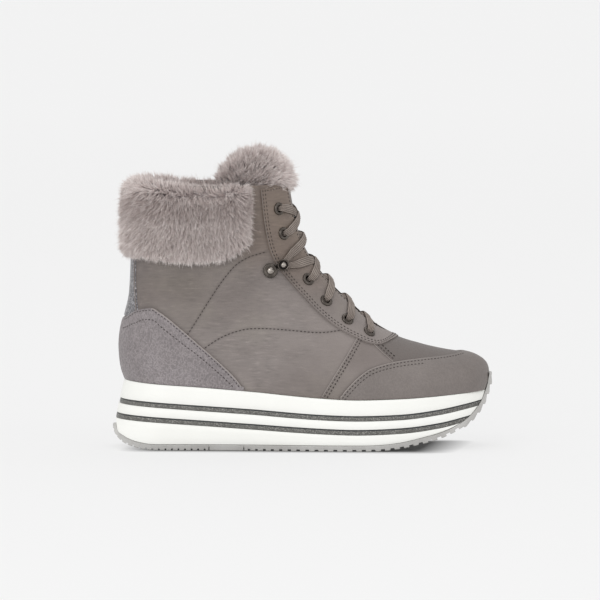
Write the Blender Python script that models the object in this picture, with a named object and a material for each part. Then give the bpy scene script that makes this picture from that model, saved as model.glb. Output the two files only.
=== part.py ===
"""A right-foot winter sneaker boot: a laced leather upper with a fur cuff, on a striped platform sole.

It is put together as the real boot is: a rubber outsole with transverse lugs, a foam midsole with two inlaid
stripes, an insole board, one hollow upper lasted over them, a heel counter and a toe guard that stand proud of it,
a padded tongue with a fur top, a turned-down fur cuff, metal eyelets, a pair of lacing hooks, and the lace.

All sizes below are in millimetres: x from the back of the sole towards the toe, y from the heel's centre line
towards the inner side of the foot, z up from the floor. to_frame() turns them into the part's own frame in metres,
whose origin is on the floor under the middle of the boot, with +X forward and +Y to the inner side.
"""

import math

import bmesh
import bpy
import numpy as np
from mathutils import Vector

# ---------------------------------------------------------------- driving sizes
SOLE_LENGTH = 270.0  # a sole of this length carries a last for a foot of about 240 mm
FRAME_X = SOLE_LENGTH / 2
FRAME_Y = 1.5  # the sole's middle lies this far to the inner side of the heel's centre line
GAP = 0.3  # between pieces that touch on the real boot
WALL = 2.8  # leather, padding and lining together

HEEL_X = 12.0  # the upper's back, where it meets the sole
TOE_X = 263.0  # the upper's front, where it meets the sole
COLLAR_Z = 185.0
COLLAR_BACK_X = 18.0
SLOT_BASE_X = 196.0  # front end of the lacing slot
HEEL_ROUND = 33.0  # how far from its back the heel reaches full width
TOE_ROUND = 50.0  # how far from its front the toe reaches full width
TIP_POWER = 2.15  # 2 is an ellipse; more is blunter


def table(columns, *rows):
    """A small table as a dictionary of its named columns."""
    return dict(zip(columns.split(), np.array(rows, float).T))


# Half widths of the lasted foot where it meets the sole, and how far its ridge swings to the inner side.
PLAN = table(
    "x lateral medial swing",
    (0, 32.0, 32.0, 0.0),
    (30, 33.0, 32.0, 0.0),
    (60, 33.5, 30.5, 0.0),
    (95, 35.5, 29.5, 0.0),
    (130, 41.0, 33.5, 0.4),
    (160, 45.5, 39.5, 1.0),
    (185, 46.5, 44.0, 1.6),
    (210, 44.5, 45.0, 2.6),
    (235, 40.5, 43.0, 4.2),
    (270, 36.0, 40.0, 6.5),
)

# Half widths of the shaft, and how far from its back and front edges it reaches them.
SHAFT = table(
    "z half back_round front_round",
    (45, 33.0, 33.0, 40.0),
    (62, 35.0, 33.0, 40.0),
    (85, 34.0, 33.0, 39.0),
    (105, 32.5, 33.0, 38.0),
    (130, 33.5, 35.0, 39.0),
    (160, 36.0, 37.0, 41.0),
    (186, 37.5, 38.0, 42.0),
    (212, 38.5, 39.0, 43.0),
)

# The back of the upper from sole to collar, on the centre line, carried on above the collar.
HEEL_LINE = table(
    "x z",
    (HEEL_X, 48.5),
    (9.2, 56.5),
    (8.0, 65.0),
    (7.7, 74.0),
    (8.8, 84.0),
    (11.6, 95.0),
    (14.2, 106.0),
    (15.2, 118.0),
    (15.8, 133.0),
    (16.4, 150.0),
    (17.2, 168.0),
    (COLLAR_BACK_X, COLLAR_Z),
    (19.5, COLLAR_Z + 27.0),
)

# The ridge of the upper from the toe over the vamp and instep to the collar and on, on the centre line.
INSTEP_LINE = table(
    "x z",
    (TOE_X, 40.7),
    (264.3, 45.5),
    (265.4, 50.5),
    (265.7, 54.5),
    (264.8, 58.2),
    (262.0, 61.5),
    (256.5, 64.6),
    (249.0, 66.6),
    (236.0, 68.7),
    (221.0, 72.1),
    (206.0, 76.7),
    (196.0, 80.9),
    (187.8, 86.0),
    (179.6, 92.6),
    (169.8, 102.2),
    (158.3, 114.0),
    (147.7, 127.0),
    (139.9, 139.2),
    (135.2, 150.5),
    (132.2, 162.0),
    (130.0, 174.0),
    (127.8, 186.6),
    (124.0, 212.0),
)

# Heights of the midsole's top edge and of its two inlaid stripes, which run lower towards the ball of the foot.
SOLE_LEVELS = table(
    "x top upper_high upper_low lower_high lower_low",
    (0, 49.2, 35.5, 31.7, 25.1, 21.1),
    (24, 47.2, 34.3, 30.5, 23.9, 20.0),
    (63, 44.6, 31.7, 27.8, 21.4, 17.5),
    (102, 41.5, 29.2, 25.3, 18.9, 14.9),
    (148, 37.5, 26.0, 22.1, 16.3, 12.3),
    (174, 36.3, 25.2, 21.3, 15.5, 11.5),
    (203, 36.9, 25.9, 22.0, 16.4, 12.4),
    (232, 38.5, 28.9, 25.0, 19.5, 15.6),
    (250, 39.7, 31.9, 28.1, 23.0, 19.4),
    (270, 40.9, 35.3, 31.7, 27.2, 23.8),
)

# Underside of the outsole on its centre line: rolled heel, flat tread, toe spring and the wrap up the toe.
GROUND_LINE = table(
    "x z",
    (2.5, 15.8),
    (2.9, 13.0),
    (4.4, 9.8),
    (9.0, 5.4),
    (16.0, 2.5),
    (25.0, 0.6),
    (33.0, 0.0),
    (60.0, 0.0),
    (100.0, 0.0),
    (140.0, 0.0),
    (176.0, 0.0),
    (186.0, 0.15),
    (196.0, 0.8),
    (207.0, 2.2),
    (218.0, 4.6),
    (229.0, 7.2),
    (238.0, 10.3),
    (246.0, 14.1),
    (253.4, 19.0),
    (259.6, 25.2),
    (264.2, 32.0),
    (267.2, 39.4),
    (268.9, 46.0),
    (269.8, 51.8),
)
LUG_DEPTH = 1.7
# Its thickness, lugs included.
OUTSOLE = table("x thick", (0, 2.6), (2.5, 2.6), (9, 4.2), (222, 4.2), (245, 3.5), (262, 2.5), (270, 1.9))
TIP_HALF = 9.0  # least half width, at the heel's and the toe's tip
GROOVE_WIDTH = 2.0
LUG_PITCH = table("x pitch", (0, 4.6), (70, 4.6), (95, 5.2), (150, 6.6), (270, 6.9))
PLAIN_SHANK = (70.5, 95.0)  # smooth stretch under the waist

LEDGE = 2.6  # the midsole's top edge stands out this far beyond the upper
SIDE_FLARE = 2.2  # extra half width at the foot of the midsole
HEEL_LEDGE = 1.4  # the same at the back of the heel
HEEL_FLARE = 11.4  # how much further back the heel reaches at its foot
STRIPE_DEPTH = 2.2  # depth of the grooves that hold the stripes
STRIPE_RECESS = 0.5  # the stripes lie this far inside the midsole's face

COUNTER_THICK = 1.2
OVERLAY_GAP = 0.8  # under the counter and the toe guard, whose nets differ from the upper's

# Upper edge of the heel counter and of the toe guard, seen from the side.
COUNTER_EDGE = table(
    "x z",
    (6, 88.0),
    (12, 92.0),
    (21, 98.0),
    (30.5, 99.6),
    (37, 96.2),
    (48, 87.6),
    (67, 71.2),
    (81, 58.8),
    (89, 51.0),
    (95, 43.2),
)
GUARD_EDGE = table(
    "x z",
    (162, 37.4),
    (167, 43.8),
    (176, 52.6),
    (184, 57.6),
    (194, 60.6),
    (206, 62.6),
    (220, 63.8),
    (234, 64.7),
    (243, 65.6),
    (250, 67.0),
    (258, 70.5),
)

# Places of the lace holes and of the lacing hook's rivet on the side of the upper, bottom to top.
EYELETS = table(
    "x z",
    (182.6, 82.1),
    (167.3, 91.2),
    (152.5, 104.3),
    (139.7, 119.3),
    (122.3, 151.8),
    (118.9, 169.2),
)
HOOK_RIVET = (113.4, 126.2)
HOOK_HEAD = (122.6, 130.8)
HOOK_NECK = (129.0, 134.0)  # where the lace turns in it
# The hook's strip, measured along it from the rivet, and its round parts' radii.
HOOK = {"plate": 0.9, "half": 2.6, "head_half": 3.4, "back": -4.6, "neck": 13.6, "lip": 6.4, "rise": 4.6}
HOOK |= {"disc": 5.0, "shank": 1.5, "hole": 1.9, "dome_at": 9.2}
HOOK_RIVET_HEAD = (2.5, 2.3)  # radius and height
HOOK_DOME = (2.2, 1.9)
EYELET = {"flange": 4.5, "bore": 2.0, "barrel": 2.7, "hole": 2.95, "proud": 1.3, "funnel": 0.5}
OVERLAY = 1.1  # room under flanges and hooks for the thin lacing facing

SIDES = {"lateral": -1.0, "medial": 1.0}


# ---------------------------------------------------------------- curves and forms
def follow(at, xs, ys):
    """Reads a table's column between its rows by a monotone cubic, level past its ends."""
    at = np.clip(np.asarray(at, float), xs[0], xs[-1])
    step = np.diff(xs)
    slope = np.diff(ys) / step
    inner = np.zeros(len(xs))
    same = slope[1:] * slope[:-1] > 0
    inner[1:-1][same] = 2 / (1 / slope[1:][same] + 1 / slope[:-1][same])
    inner[0], inner[-1] = slope[0], slope[-1]
    i = np.clip(np.searchsorted(xs, at) - 1, 0, len(xs) - 2)
    t = (at - xs[i]) / step[i]
    return (
        ys[i] * (1 + 2 * t) * (1 - t) ** 2
        + ys[i + 1] * t * t * (3 - 2 * t)
        + step[i] * (inner[i] * t * (1 - t) ** 2 + inner[i + 1] * t * t * (t - 1))
    )


def smooth_line(points, per_span=10):
    """A centripetal Catmull-Rom curve through a table's x and z, as a fine polyline."""
    knots = np.column_stack([points["x"], points["z"]])
    ends = (2 * knots[0] - knots[1], 2 * knots[-1] - knots[-2])
    knots = np.vstack([ends[0], knots, ends[1]])
    when = np.concatenate([[0], np.cumsum(np.sqrt(np.linalg.norm(np.diff(knots, axis=0), axis=1)))])
    line = []
    for i in range(1, len(knots) - 2):
        for t in np.linspace(when[i], when[i + 1], per_span, endpoint=False):
            low = [
                ((when[k + 1] - t) * knots[k] + (t - when[k]) * knots[k + 1]) / (when[k + 1] - when[k])
                for k in range(i - 1, i + 2)
            ]
            mid = [
                ((when[i + 1 + k] - t) * low[k] + (t - when[i - 1 + k]) * low[k + 1])
                / (when[i + 1 + k] - when[i - 1 + k])
                for k in (0, 1)
            ]
            line.append(((when[i + 1] - t) * mid[0] + (t - when[i]) * mid[1]) / (when[i + 1] - when[i]))
    return np.array(line + [knots[-2]])


def along(line, share):
    """The point at a share of a polyline's length."""
    reach = np.concatenate([[0], np.cumsum(np.linalg.norm(np.diff(line, axis=0), axis=1))])
    at = np.asarray(share, float) * reach[-1]
    return np.stack([np.interp(at, reach, line[:, 0]), np.interp(at, reach, line[:, 1])], axis=-1)


def distance(line, x, z):
    """Distance of points to a polyline in the side view."""
    p = np.stack(np.broadcast_arrays(x, z), axis=-1)[..., None, :]
    a, ab = line[:-1], np.diff(line, axis=0)
    t = np.clip(((p - a) * ab).sum(-1) / (ab * ab).sum(-1), 0, 1)[..., None]
    return np.sqrt((((a + t * ab) - p) ** 2).sum(-1).min(-1))


def rounded(share, power=2.0):
    """Rises from 0 to 1 as a quarter of an ellipse does."""
    t = 1 - np.clip(share, 0, 1)
    return (1 - t**power) ** (1 / power)


def ease(t):
    t = np.clip(t, 0, 1)
    return t * t * (3 - 2 * t)


BACK = smooth_line(HEEL_LINE)
RIDGE = smooth_line(INSTEP_LINE)
RIDGE_TOP = int(np.argmax(RIDGE[:, 0]))  # where the toe bulges furthest forward


def sole_z(x, level="top"):
    return follow(x, SOLE_LEVELS["x"], SOLE_LEVELS[level])


def swing(x):
    return follow(x, PLAN["x"], PLAN["swing"])


def sole_half(side, x, out=0.0, heel_out=None):
    """Half width of the lasted outline at x, made larger all round by out."""
    back = HEEL_X - (out if heel_out is None else heel_out)
    front = TOE_X + out
    tips = rounded((x - back) / (HEEL_ROUND + out), TIP_POWER) * rounded((front - x) / (TOE_ROUND + out), TIP_POWER)
    return (follow(x, PLAN["x"], PLAN[side]) + out) * tips


def ridge_z(x):
    """Height of the vamp's ridge over x."""
    vamp = RIDGE[RIDGE_TOP:]
    return np.interp(x, vamp[::-1, 0], vamp[::-1, 1])


def half_width(side, x, z):
    """Distance of the upper's outer face from its ridge plane: the form of the last."""
    x, z = np.asarray(x, float), np.asarray(z, float)
    low = follow(x, PLAN["x"], PLAN[side])
    rise = np.clip((z - sole_z(x)) / 26.0, 0, 1)
    bulge = 1 + 0.04 * np.sin(math.pi * rise)

    shaft = follow(z, SHAFT["z"], SHAFT["half"])
    rear = low * bulge + (shaft - low * bulge) * ease((z - 58) / 62)
    rear = rear * rounded(distance(BACK, x, z) / follow(z, SHAFT["z"], SHAFT["back_round"]))
    rear = rear * rounded(distance(RIDGE, x, z) / follow(z, SHAFT["z"], SHAFT["front_round"]))

    # In front of the ankle each section is an arch from the sole to the ridge; the inner side is fuller.
    full = {"lateral": 2.15, "medial": 2.5}[side]
    height = np.maximum(ridge_z(x) - sole_z(x), 1.0)
    arch = (1 - np.clip((z - sole_z(x)) / height, 0, 1) ** full) ** 0.5
    toe = rounded((RIDGE[RIDGE_TOP, 0] - x) / TOE_ROUND, TIP_POWER)
    fore = low * bulge * arch * toe
    return rear + (fore - rear) * ease((x - 128) / 50)


def form_point(side, x, z):
    """The point of the upper's outer face at x and z, on one side."""
    y = swing(x) + SIDES[side] * half_width(side, x, z)
    return np.stack(np.broadcast_arrays(x, y, z), axis=-1)


def form_normal(side, x, z, h=0.4):
    """Outward normal of the outer face at a point away from its ridge."""
    dx = form_point(side, x + h, z) - form_point(side, x - h, z)
    dz = form_point(side, x, z + h) - form_point(side, x, z - h)
    n = np.cross(dx, dz) * -SIDES[side]
    return n / np.linalg.norm(n, axis=-1, keepdims=True)


# ---------------------------------------------------------------- the slot and the ridge over it
def length_along(line):
    return np.concatenate([[0], np.cumsum(np.linalg.norm(np.diff(line, axis=0), axis=1))])


SLOT_BASE = RIDGE_TOP + int(np.argmin(np.abs(RIDGE[RIDGE_TOP:, 0] - SLOT_BASE_X)))
RIDGE_REACH = length_along(RIDGE) - length_along(RIDGE)[SLOT_BASE]
SLOT_LENGTH = float(np.interp(COLLAR_Z + 1.0, RIDGE[SLOT_BASE:, 1], RIDGE_REACH[SLOT_BASE:]))


def ridge_at(s):
    """(place, inward direction) on the ridge at s millimetres up from the slot's base."""
    place = np.stack([np.interp(s, RIDGE_REACH, RIDGE[:, k]) for k in (0, 1)], axis=-1)
    ahead = np.stack(
        [np.interp(s + 1.5, RIDGE_REACH, RIDGE[:, k]) - np.interp(s - 1.5, RIDGE_REACH, RIDGE[:, k]) for k in (0, 1)],
        axis=-1,
    )
    ahead /= np.linalg.norm(ahead, axis=-1, keepdims=True)
    return place, np.stack([-ahead[..., 1], ahead[..., 0]], axis=-1)


def crown_place(s, y):
    """Side view place of the closed form's surface at s along the ridge and y across, measured from the ridge."""
    s, y = np.broadcast_arrays(np.asarray(s, float), np.asarray(y, float))
    place, inward = ridge_at(s)
    low, high = np.zeros(s.shape), np.full(s.shape, 30.0)
    for _ in range(26):
        mid = (low + high) / 2
        spot = place + inward * mid[..., None]
        half = np.where(
            y < 0,
            half_width("lateral", spot[..., 0], spot[..., 1]),
            half_width("medial", spot[..., 0], spot[..., 1]),
        )
        wide = half >= np.abs(y)
        high, low = np.where(wide, mid, high), np.where(wide, low, mid)
    return place + inward * high[..., None]


def crown(s, y, lift=0.0):
    """Point of the closed form over the slot, raised outwards by lift."""

    def surface(s, y):
        place = crown_place(s, y)
        return np.stack([place[..., 0], swing(place[..., 0]) + y, place[..., 1]], axis=-1)

    s, y = np.broadcast_arrays(np.asarray(s, float), np.asarray(y, float))
    across, along_ridge = surface(s, y + 1.5) - surface(s, y - 1.5), surface(s + 2, y) - surface(s - 2, y)
    normal = np.cross(along_ridge, across)
    normal /= np.linalg.norm(normal, axis=-1, keepdims=True)
    normal = np.where(normal[..., :1] < 0, -normal, normal)
    return surface(s, y) + normal * np.asarray(lift, float)[..., None]


def crown_reach(x, z):
    """How far up the ridge from the slot's base a side view place lies."""
    gaps = np.hypot(RIDGE[SLOT_BASE:, 0] - x, RIDGE[SLOT_BASE:, 1] - z)
    return float(RIDGE_REACH[SLOT_BASE + int(np.argmin(gaps))])


# ---------------------------------------------------------------- the upper's net of lines
# A line of the net runs from the sole up to the collar or to the lacing slot. u is 0 at the heel's back and 1 at
# the toe; v is 0 at the sole and 1 at the top edge.
CORNER_U = 0.46  # the line that ends at the front corner of the collar
SLOT_HALF = table("share half", (0, 0.0), (0.03, 4.6), (0.08, 7.4), (0.2, 9.4), (0.6, 11.0), (0.9, 13.0), (1, 14.0))


def slot_edge(side, share):
    """A place on the lacing slot's edge, by its share of the way from the slot's base to the collar."""
    half = follow(share, SLOT_HALF["share"], SLOT_HALF["half"])
    return crown_place(np.asarray(share) * SLOT_LENGTH, SIDES[side] * half)


def round_collar(share):
    """Spreads stations round the collar: close together at its back and at its front corner."""
    return 0.4 * (1 - np.cos(math.pi / 2 * share)) + 0.3 * (1 - np.cos(math.pi * share))


def net(side, u, v):
    """Side view places (x, z) of the net's crossings, for columns u and rows v."""
    u = np.asarray(u, float)[:, None]
    v = np.asarray(v, float)[None, :]

    def foot(u):
        x = HEEL_X + (TOE_X - HEEL_X) * (1 - np.cos(math.pi * u)) / 2
        return np.stack([x, sole_z(x)], axis=-1)

    slot_top = slot_edge(side, np.array([1.0]))[0]
    back_top = np.array([COLLAR_BACK_X, COLLAR_Z])

    def top(u):
        on_collar = round_collar(np.clip(u / CORNER_U, 0, 1))[..., None]
        on_slot = np.sin(math.pi / 2 * np.clip((u - CORNER_U) / (1 - CORNER_U), 0, 1))
        collar = back_top + (slot_top - back_top) * on_collar
        return np.where((u < CORNER_U)[..., None], collar, slot_edge(side, 1 - on_slot))

    back_line = BACK[: int(np.argmin(np.abs(BACK[:, 1] - COLLAR_Z))) + 1]
    back_bow = along(back_line, v) - ((1 - v[..., None]) * back_line[0] + v[..., None] * back_top)
    toe_line = RIDGE[: SLOT_BASE + 1]
    toe_bow = along(toe_line, v) - ((1 - v[..., None]) * toe_line[0] + v[..., None] * toe_line[-1])
    u3, v3 = u[..., None], v[..., None]
    return (1 - v3) * foot(u) + v3 * top(u) + (1 - u3) ** 2 * back_bow + u3**4 * toe_bow


def net_surface(side, u, v):
    """Points of the outer face at the net's crossings. Its first and last columns lie on the ridge plane."""
    place = net(side, u, v)
    points = form_point(side, place[..., 0], place[..., 1])
    for column in np.flatnonzero((np.asarray(u) <= 0) | (np.asarray(u) >= 1)):
        points[column, :, 1] = swing(points[column, :, 0])
    return points


def ring_surface(u, v):
    """The outer face as a closed ring of columns: heel, lateral side, toe, medial side."""
    lateral, medial = net_surface("lateral", u, v), net_surface("medial", u, v)
    return np.concatenate([lateral, medial[-2:0:-1]])


def ring_normals(points):
    """Outward normals of a ring surface."""
    across = np.roll(points, -1, axis=0) - np.roll(points, 1, axis=0)
    up = np.gradient(points, axis=1)
    n = np.cross(across, up)
    return n / np.linalg.norm(n, axis=-1, keepdims=True)


# ---------------------------------------------------------------- objects
def to_frame(points):
    """Millimetres from the heel and the floor to metres in the part's frame."""
    return (np.asarray(points, float) - (FRAME_X, FRAME_Y, 0)) * 0.001


def finish(name, colour, roughness, metallic=0.0):
    material = bpy.data.materials.get(name) or bpy.data.materials.new(name)
    material.use_nodes = True
    shader = material.node_tree.nodes["Principled BSDF"]
    shader.inputs["Base Color"].default_value = (*colour, 1)
    shader.inputs["Roughness"].default_value = roughness
    shader.inputs["Metallic"].default_value = metallic
    return material


LEATHER = finish("taupe leather", (0.24, 0.205, 0.19), 0.6)
COUNTER_LEATHER = finish("grained taupe leather", (0.25, 0.215, 0.205), 0.65)
FUR = finish("faux fur", (0.40, 0.35, 0.335), 0.95)
FOAM = finish("white foam", (0.9, 0.9, 0.87), 0.5)
STRIPE = finish("dark glitter stripe", (0.12, 0.13, 0.12), 0.4)
RUBBER = finish("grey rubber", (0.5, 0.5, 0.49), 0.7)
BOARD = finish("insole fleece", (0.36, 0.32, 0.30), 0.9)
LACE = finish("taupe lace", (0.23, 0.2, 0.19), 0.8)
METAL = finish("gunmetal", (0.3, 0.29, 0.27), 0.3, 1.0)


def solid(name, points, faces, material, hidden=False):
    """One closed mesh object from millimetre points."""
    mesh = bpy.data.meshes.new(name)
    mesh.from_pydata([tuple(p) for p in to_frame(points)], [], [tuple(int(i) for i in f) for f in faces])
    work = bmesh.new()
    work.from_mesh(mesh)
    bmesh.ops.recalc_face_normals(work, faces=work.faces)
    work.to_mesh(mesh)
    work.free()
    obj = bpy.data.objects.new(name, mesh)
    bpy.context.scene.collection.objects.link(obj)
    if material:
        mesh.materials.append(material)
    if hidden:
        obj.hide_render = True
        obj.display_type = "WIRE"
    else:
        mesh.shade_smooth()
        mesh.set_sharp_from_angle(angle=math.radians(35))
    return obj


def boolean(obj, other, operation):
    """Puts a Boolean modifier on obj with other."""
    modifier = obj.modifiers.new(other.name, "BOOLEAN")
    modifier.operation = operation
    modifier.solver = "EXACT"
    modifier.object = other


def tube_faces(rings, around, closed_ends=False, wrap=True):
    """Quads that join rings of points, ring after ring. With closed_ends the last ring joins the first."""
    faces = []
    for i in range(rings if closed_ends else rings - 1):
        j = (i + 1) % rings
        for k in range(around if wrap else around - 1):
            n = (k + 1) % around
            faces.append((i * around + k, i * around + n, j * around + n, j * around + k))
    return faces


def swept(name, rings, material, hidden=False, cap=None):
    """A solid through closed rings of the same count of points; cap lists the faces that close a ring."""
    rings = np.asarray(rings, float)
    count, around = rings.shape[:2]
    faces = tube_faces(count, around)
    for face in cap or [tuple(range(around))]:
        faces += [face, tuple((count - 1) * around + k for k in face)]
    return solid(name, rings.reshape(-1, 3), faces, material, hidden)


def row_cap(count):
    """Closes a ring made of two rows of points, out and back."""
    return [(k, k + 1, 2 * count - 2 - k, 2 * count - 1 - k) for k in range(count - 1)]


def turned(name, profile, at, axis, sides, material, hidden=False):
    """A ring turned about an axis: profile is a closed loop of (radius, height), at is the axis foot."""
    turn = Vector(axis).to_track_quat("Z", "X").to_matrix()
    rings = []
    for k in range(sides):
        angle = 2 * math.pi * k / sides
        spokes = [Vector((r * math.cos(angle), r * math.sin(angle), h)) for r, h in profile]
        rings.append([at + np.array(turn @ spoke) for spoke in spokes])
    points = np.array(rings)
    return solid(name, points.reshape(-1, 3), tube_faces(sides, len(profile), closed_ends=True), material, hidden)


def peg(at, axis, radius, low, high, sides=8, hidden=True, name="cutter", material=None):
    """A straight round peg on an axis, from low to high."""
    turn = Vector(axis).to_track_quat("Z", "X").to_matrix()
    rings = [
        [
            at + np.array(turn @ Vector((radius * math.cos(a), radius * math.sin(a), h)))
            for a in np.arange(sides) * 2 * math.pi / sides
        ]
        for h in (low, high)
    ]
    return swept(name, rings, material, hidden)


# ---------------------------------------------------------------- sole unit
OUTLINE_STEPS = 20
OUTLINE_X = HEEL_X + (TOE_X - HEEL_X) * (1 - np.cos(np.linspace(0, math.pi, OUTLINE_STEPS + 1))) / 2


def outline(out, heel_out, level):
    """The lasted outline made larger, on one level: heel tip, lateral side, toe tip, medial side to the heel."""
    out, heel_out = np.broadcast_to(out, OUTLINE_X.shape), np.broadcast_to(heel_out, OUTLINE_X.shape)
    turn = (OUTLINE_X - HEEL_X) / (TOE_X - HEEL_X)
    x = OUTLINE_X + out * turn - heel_out * (1 - turn)
    z = level(x)
    lateral = swing(x) - sole_half("lateral", x, out, heel_out)
    medial = swing(x) + sole_half("medial", x, out, heel_out)
    lateral[[0, -1]] = medial[[0, -1]] = swing(x[[0, -1]])
    return np.concatenate([np.column_stack([x, lateral, z]), np.column_stack([x, medial, z])[-2:0:-1]])


def ladder(first, around):
    """Faces that close an outline ring with rungs from side to side, so that a curved level stays smooth."""
    half = around // 2
    faces = [(first, first + 1, first + around - 1)]
    for k in range(1, half - 1):
        faces.append((first + k, first + k + 1, first + around - k - 1, first + around - k))
    faces.append((first + half - 1, first + half, first + half + 1))
    return faces


def stacked(name, rings, material, hidden=False):
    """A solid from outline rings, bottom to top, closed by ladders."""
    around = len(rings[0])
    faces = tube_faces(len(rings), around) + ladder(0, around) + ladder((len(rings) - 1) * around, around)
    return solid(name, np.concatenate(rings), faces, material, hidden)


def flare(x, z):
    """(out, heel_out) of the sole's wall at a height: it stands out further towards the floor."""
    depth = np.clip(1 - z / sole_z(x), 0, 1)
    return LEDGE + SIDE_FLARE * depth, HEEL_LEDGE + HEEL_FLARE * depth


def wall_ring(level, inset=0.0):
    """The outline on a level of the sole's wall, or inside it by inset."""
    out, heel_out = flare(OUTLINE_X, level(OUTLINE_X))
    return outline(out - inset, heel_out - inset, level)


def level_line(name, lift=0.0):
    return lambda x: sole_z(x, name) + lift


def ground_frame(per_span=8):
    """The ground line, its unit direction into the sole, and the outsole's thickness along it."""
    line = smooth_line(GROUND_LINE, per_span)
    line[:, 1] = np.maximum(line[:, 1], 0.0)
    ahead = np.gradient(line, axis=0)
    up = np.column_stack([-ahead[:, 1], ahead[:, 0]])
    return line, up / np.linalg.norm(up, axis=1, keepdims=True), follow(line[:, 0], OUTSOLE["x"], OUTSOLE["thick"])


def undersole_cutter(gap):
    """Everything below the outsole's upper face, raised by gap."""
    line, up, thick = ground_frame(per_span=3)
    line = line + (thick + gap)[:, None] * up
    low, high = line[0], line[-1]
    corners = [[high[0] + 30, high[1] + 20], [high[0] + 30, -30], [low[0] - 30, -30], [low[0] - 30, low[1] + 4]]
    corners.append([low[0], low[1] + gap])
    rim = np.vstack([line, corners])
    rings = [np.column_stack([rim[:, 0], np.full(len(rim), y), rim[:, 1]]) for y in (-90.0, 90.0)]
    return swept(f"cutter_under_{gap:.1f}", rings, None, hidden=True)


def build_midsole():
    """White foam platform with two grooves round its wall, cut off below by the outsole's upper face."""
    rings = [wall_ring(lambda x: np.full_like(x, -6.0)), wall_ring(lambda x: np.full_like(x, 6.0))]
    for low, high in (("lower_low", "lower_high"), ("upper_low", "upper_high")):
        rings += [wall_ring(level_line(low)), wall_ring(level_line(low), STRIPE_DEPTH)]
        rings += [wall_ring(level_line(high), STRIPE_DEPTH), wall_ring(level_line(high))]
    for drop, inset in ((1.7, 0.0), (0.7, 0.3), (GAP, 1.2)):
        rings.append(wall_ring(level_line("top", -drop), inset))
    midsole = stacked("midsole", rings, FOAM)
    boolean(midsole, undersole_cutter(1.5 * GAP), "DIFFERENCE")


def build_stripes():
    """The two glitter bands, each a ring in its groove, open at the toe where the outsole wraps up."""
    for name, low, high in (("stripe_lower", "lower_low", "lower_high"), ("stripe_upper", "upper_low", "upper_high")):
        inner = STRIPE_DEPTH - GAP
        rings = [
            wall_ring(level_line(low, GAP), inner),
            wall_ring(level_line(low, GAP), STRIPE_RECESS),
            wall_ring(level_line(high, -GAP), STRIPE_RECESS),
            wall_ring(level_line(high, -GAP), inner),
        ]
        faces = tube_faces(4, len(rings[0]), closed_ends=True)
        band = solid(name, np.concatenate(rings), faces, STRIPE)
        boolean(band, undersole_cutter(2.5 * GAP), "DIFFERENCE")


def lug_stations(line):
    """Shares along the ground line where the tread steps, with True on a lug and False in a groove."""
    reach = length_along(line)
    stations, s = [(0.0, True)], 2.2
    while s < reach[-1] - 3.0:
        x = float(np.interp(s, reach, line[:, 0]))
        if PLAIN_SHANK[0] < x < PLAIN_SHANK[1]:
            s = float(np.interp(PLAIN_SHANK[1], line[:, 0], reach))
            continue
        stations += [(s, True), (s + 0.05, False), (s + GROOVE_WIDTH, False), (s + GROOVE_WIDTH + 0.05, True)]
        s += float(follow(x, LUG_PITCH["x"], LUG_PITCH["pitch"]))
    stations.append((reach[-1], True))
    return [(at / reach[-1], lug) for at, lug in stations]


def build_outsole():
    """Grey rubber tread: a sheet that follows the ground line from the heel roll to the toe wrap, with lugs."""
    ground, up, thick = ground_frame()
    base, top = ground + np.minimum(LUG_DEPTH, thick - 1.0)[:, None] * up, ground + thick[:, None] * up
    rings = []
    for share, lug in lug_stations(ground):
        reach = share * length_along(ground)[-1]
        (low_x, low_z), (top_x, top_z) = [
            [np.interp(reach, length_along(ground), line[:, k]) for k in (0, 1)]
            for line in (ground if lug else base, top)
        ]
        out, _ = flare(top_x, top_z)
        heel_out = HEEL_X - ground[0, 0] + 0.9
        wide_x = low_x if low_x < 60 else top_x
        half = {side: max(float(sole_half(side, wide_x, out, heel_out)), TIP_HALF) for side in SIDES}
        middle = swing(top_x)
        rings.append(
            [
                (low_x, middle - half["lateral"] + 0.8, low_z),
                (top_x, middle - half["lateral"], top_z),
                (top_x, middle + half["medial"], top_z),
                (low_x, middle + half["medial"] - 0.8, low_z),
            ]
        )
    swept("outsole", rings, RUBBER)


def build_insole():
    """Fleece-topped insole board inside the upper."""
    inset = WALL + 1.0
    rings = [outline(-inset, -inset, lambda x, lift=lift: sole_z(x) + lift) for lift in (0.0, 3.0)]
    rings.append(outline(-inset - 1.2, -inset - 1.2, lambda x: sole_z(x) + 4.0))
    stacked("insole", rings, BOARD)


# ---------------------------------------------------------------- upper and what is lasted on it
UPPER_COLUMNS = 20
UPPER_ROWS = 13


def eyelet_axes(side):
    """(point on the outer face, outward normal) of each lace hole, bottom to top."""
    spots = zip(EYELETS["x"], EYELETS["z"])
    return [(form_point(side, x, z), form_normal(side, x, z)) for x, z in spots]


def build_upper():
    """One hollow wall from the sole to the collar and the lacing slot, open below, with its lace holes cut."""
    u = np.linspace(0, 1, UPPER_COLUMNS + 1)
    v = np.linspace(0, 1, UPPER_ROWS + 1) ** 1.08
    outer = ring_surface(u, v)
    inner = outer - WALL * ring_normals(outer)
    inner[:, 0, 2] = sole_z(inner[:, 0, 0])
    columns, rows = outer.shape[:2]
    loops = np.concatenate([outer, inner[:, ::-1]], axis=1)
    faces = tube_faces(columns, 2 * rows, closed_ends=True)
    upper = solid("upper", loops.reshape(-1, 3), faces, LEATHER)
    for side in SIDES:
        for k, (at, axis) in enumerate(eyelet_axes(side)):
            boolean(upper, peg(at, axis, EYELET["hole"], -6, 4, name=f"cutter_eyelet_{side}_{k}"), "DIFFERENCE")
        at, axis = form_point(side, *HOOK_RIVET), form_normal(side, *HOOK_RIVET)
        boolean(upper, peg(at, axis, HOOK["hole"], -6, 4, sides=6, name=f"cutter_rivet_{side}"), "DIFFERENCE")


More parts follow.
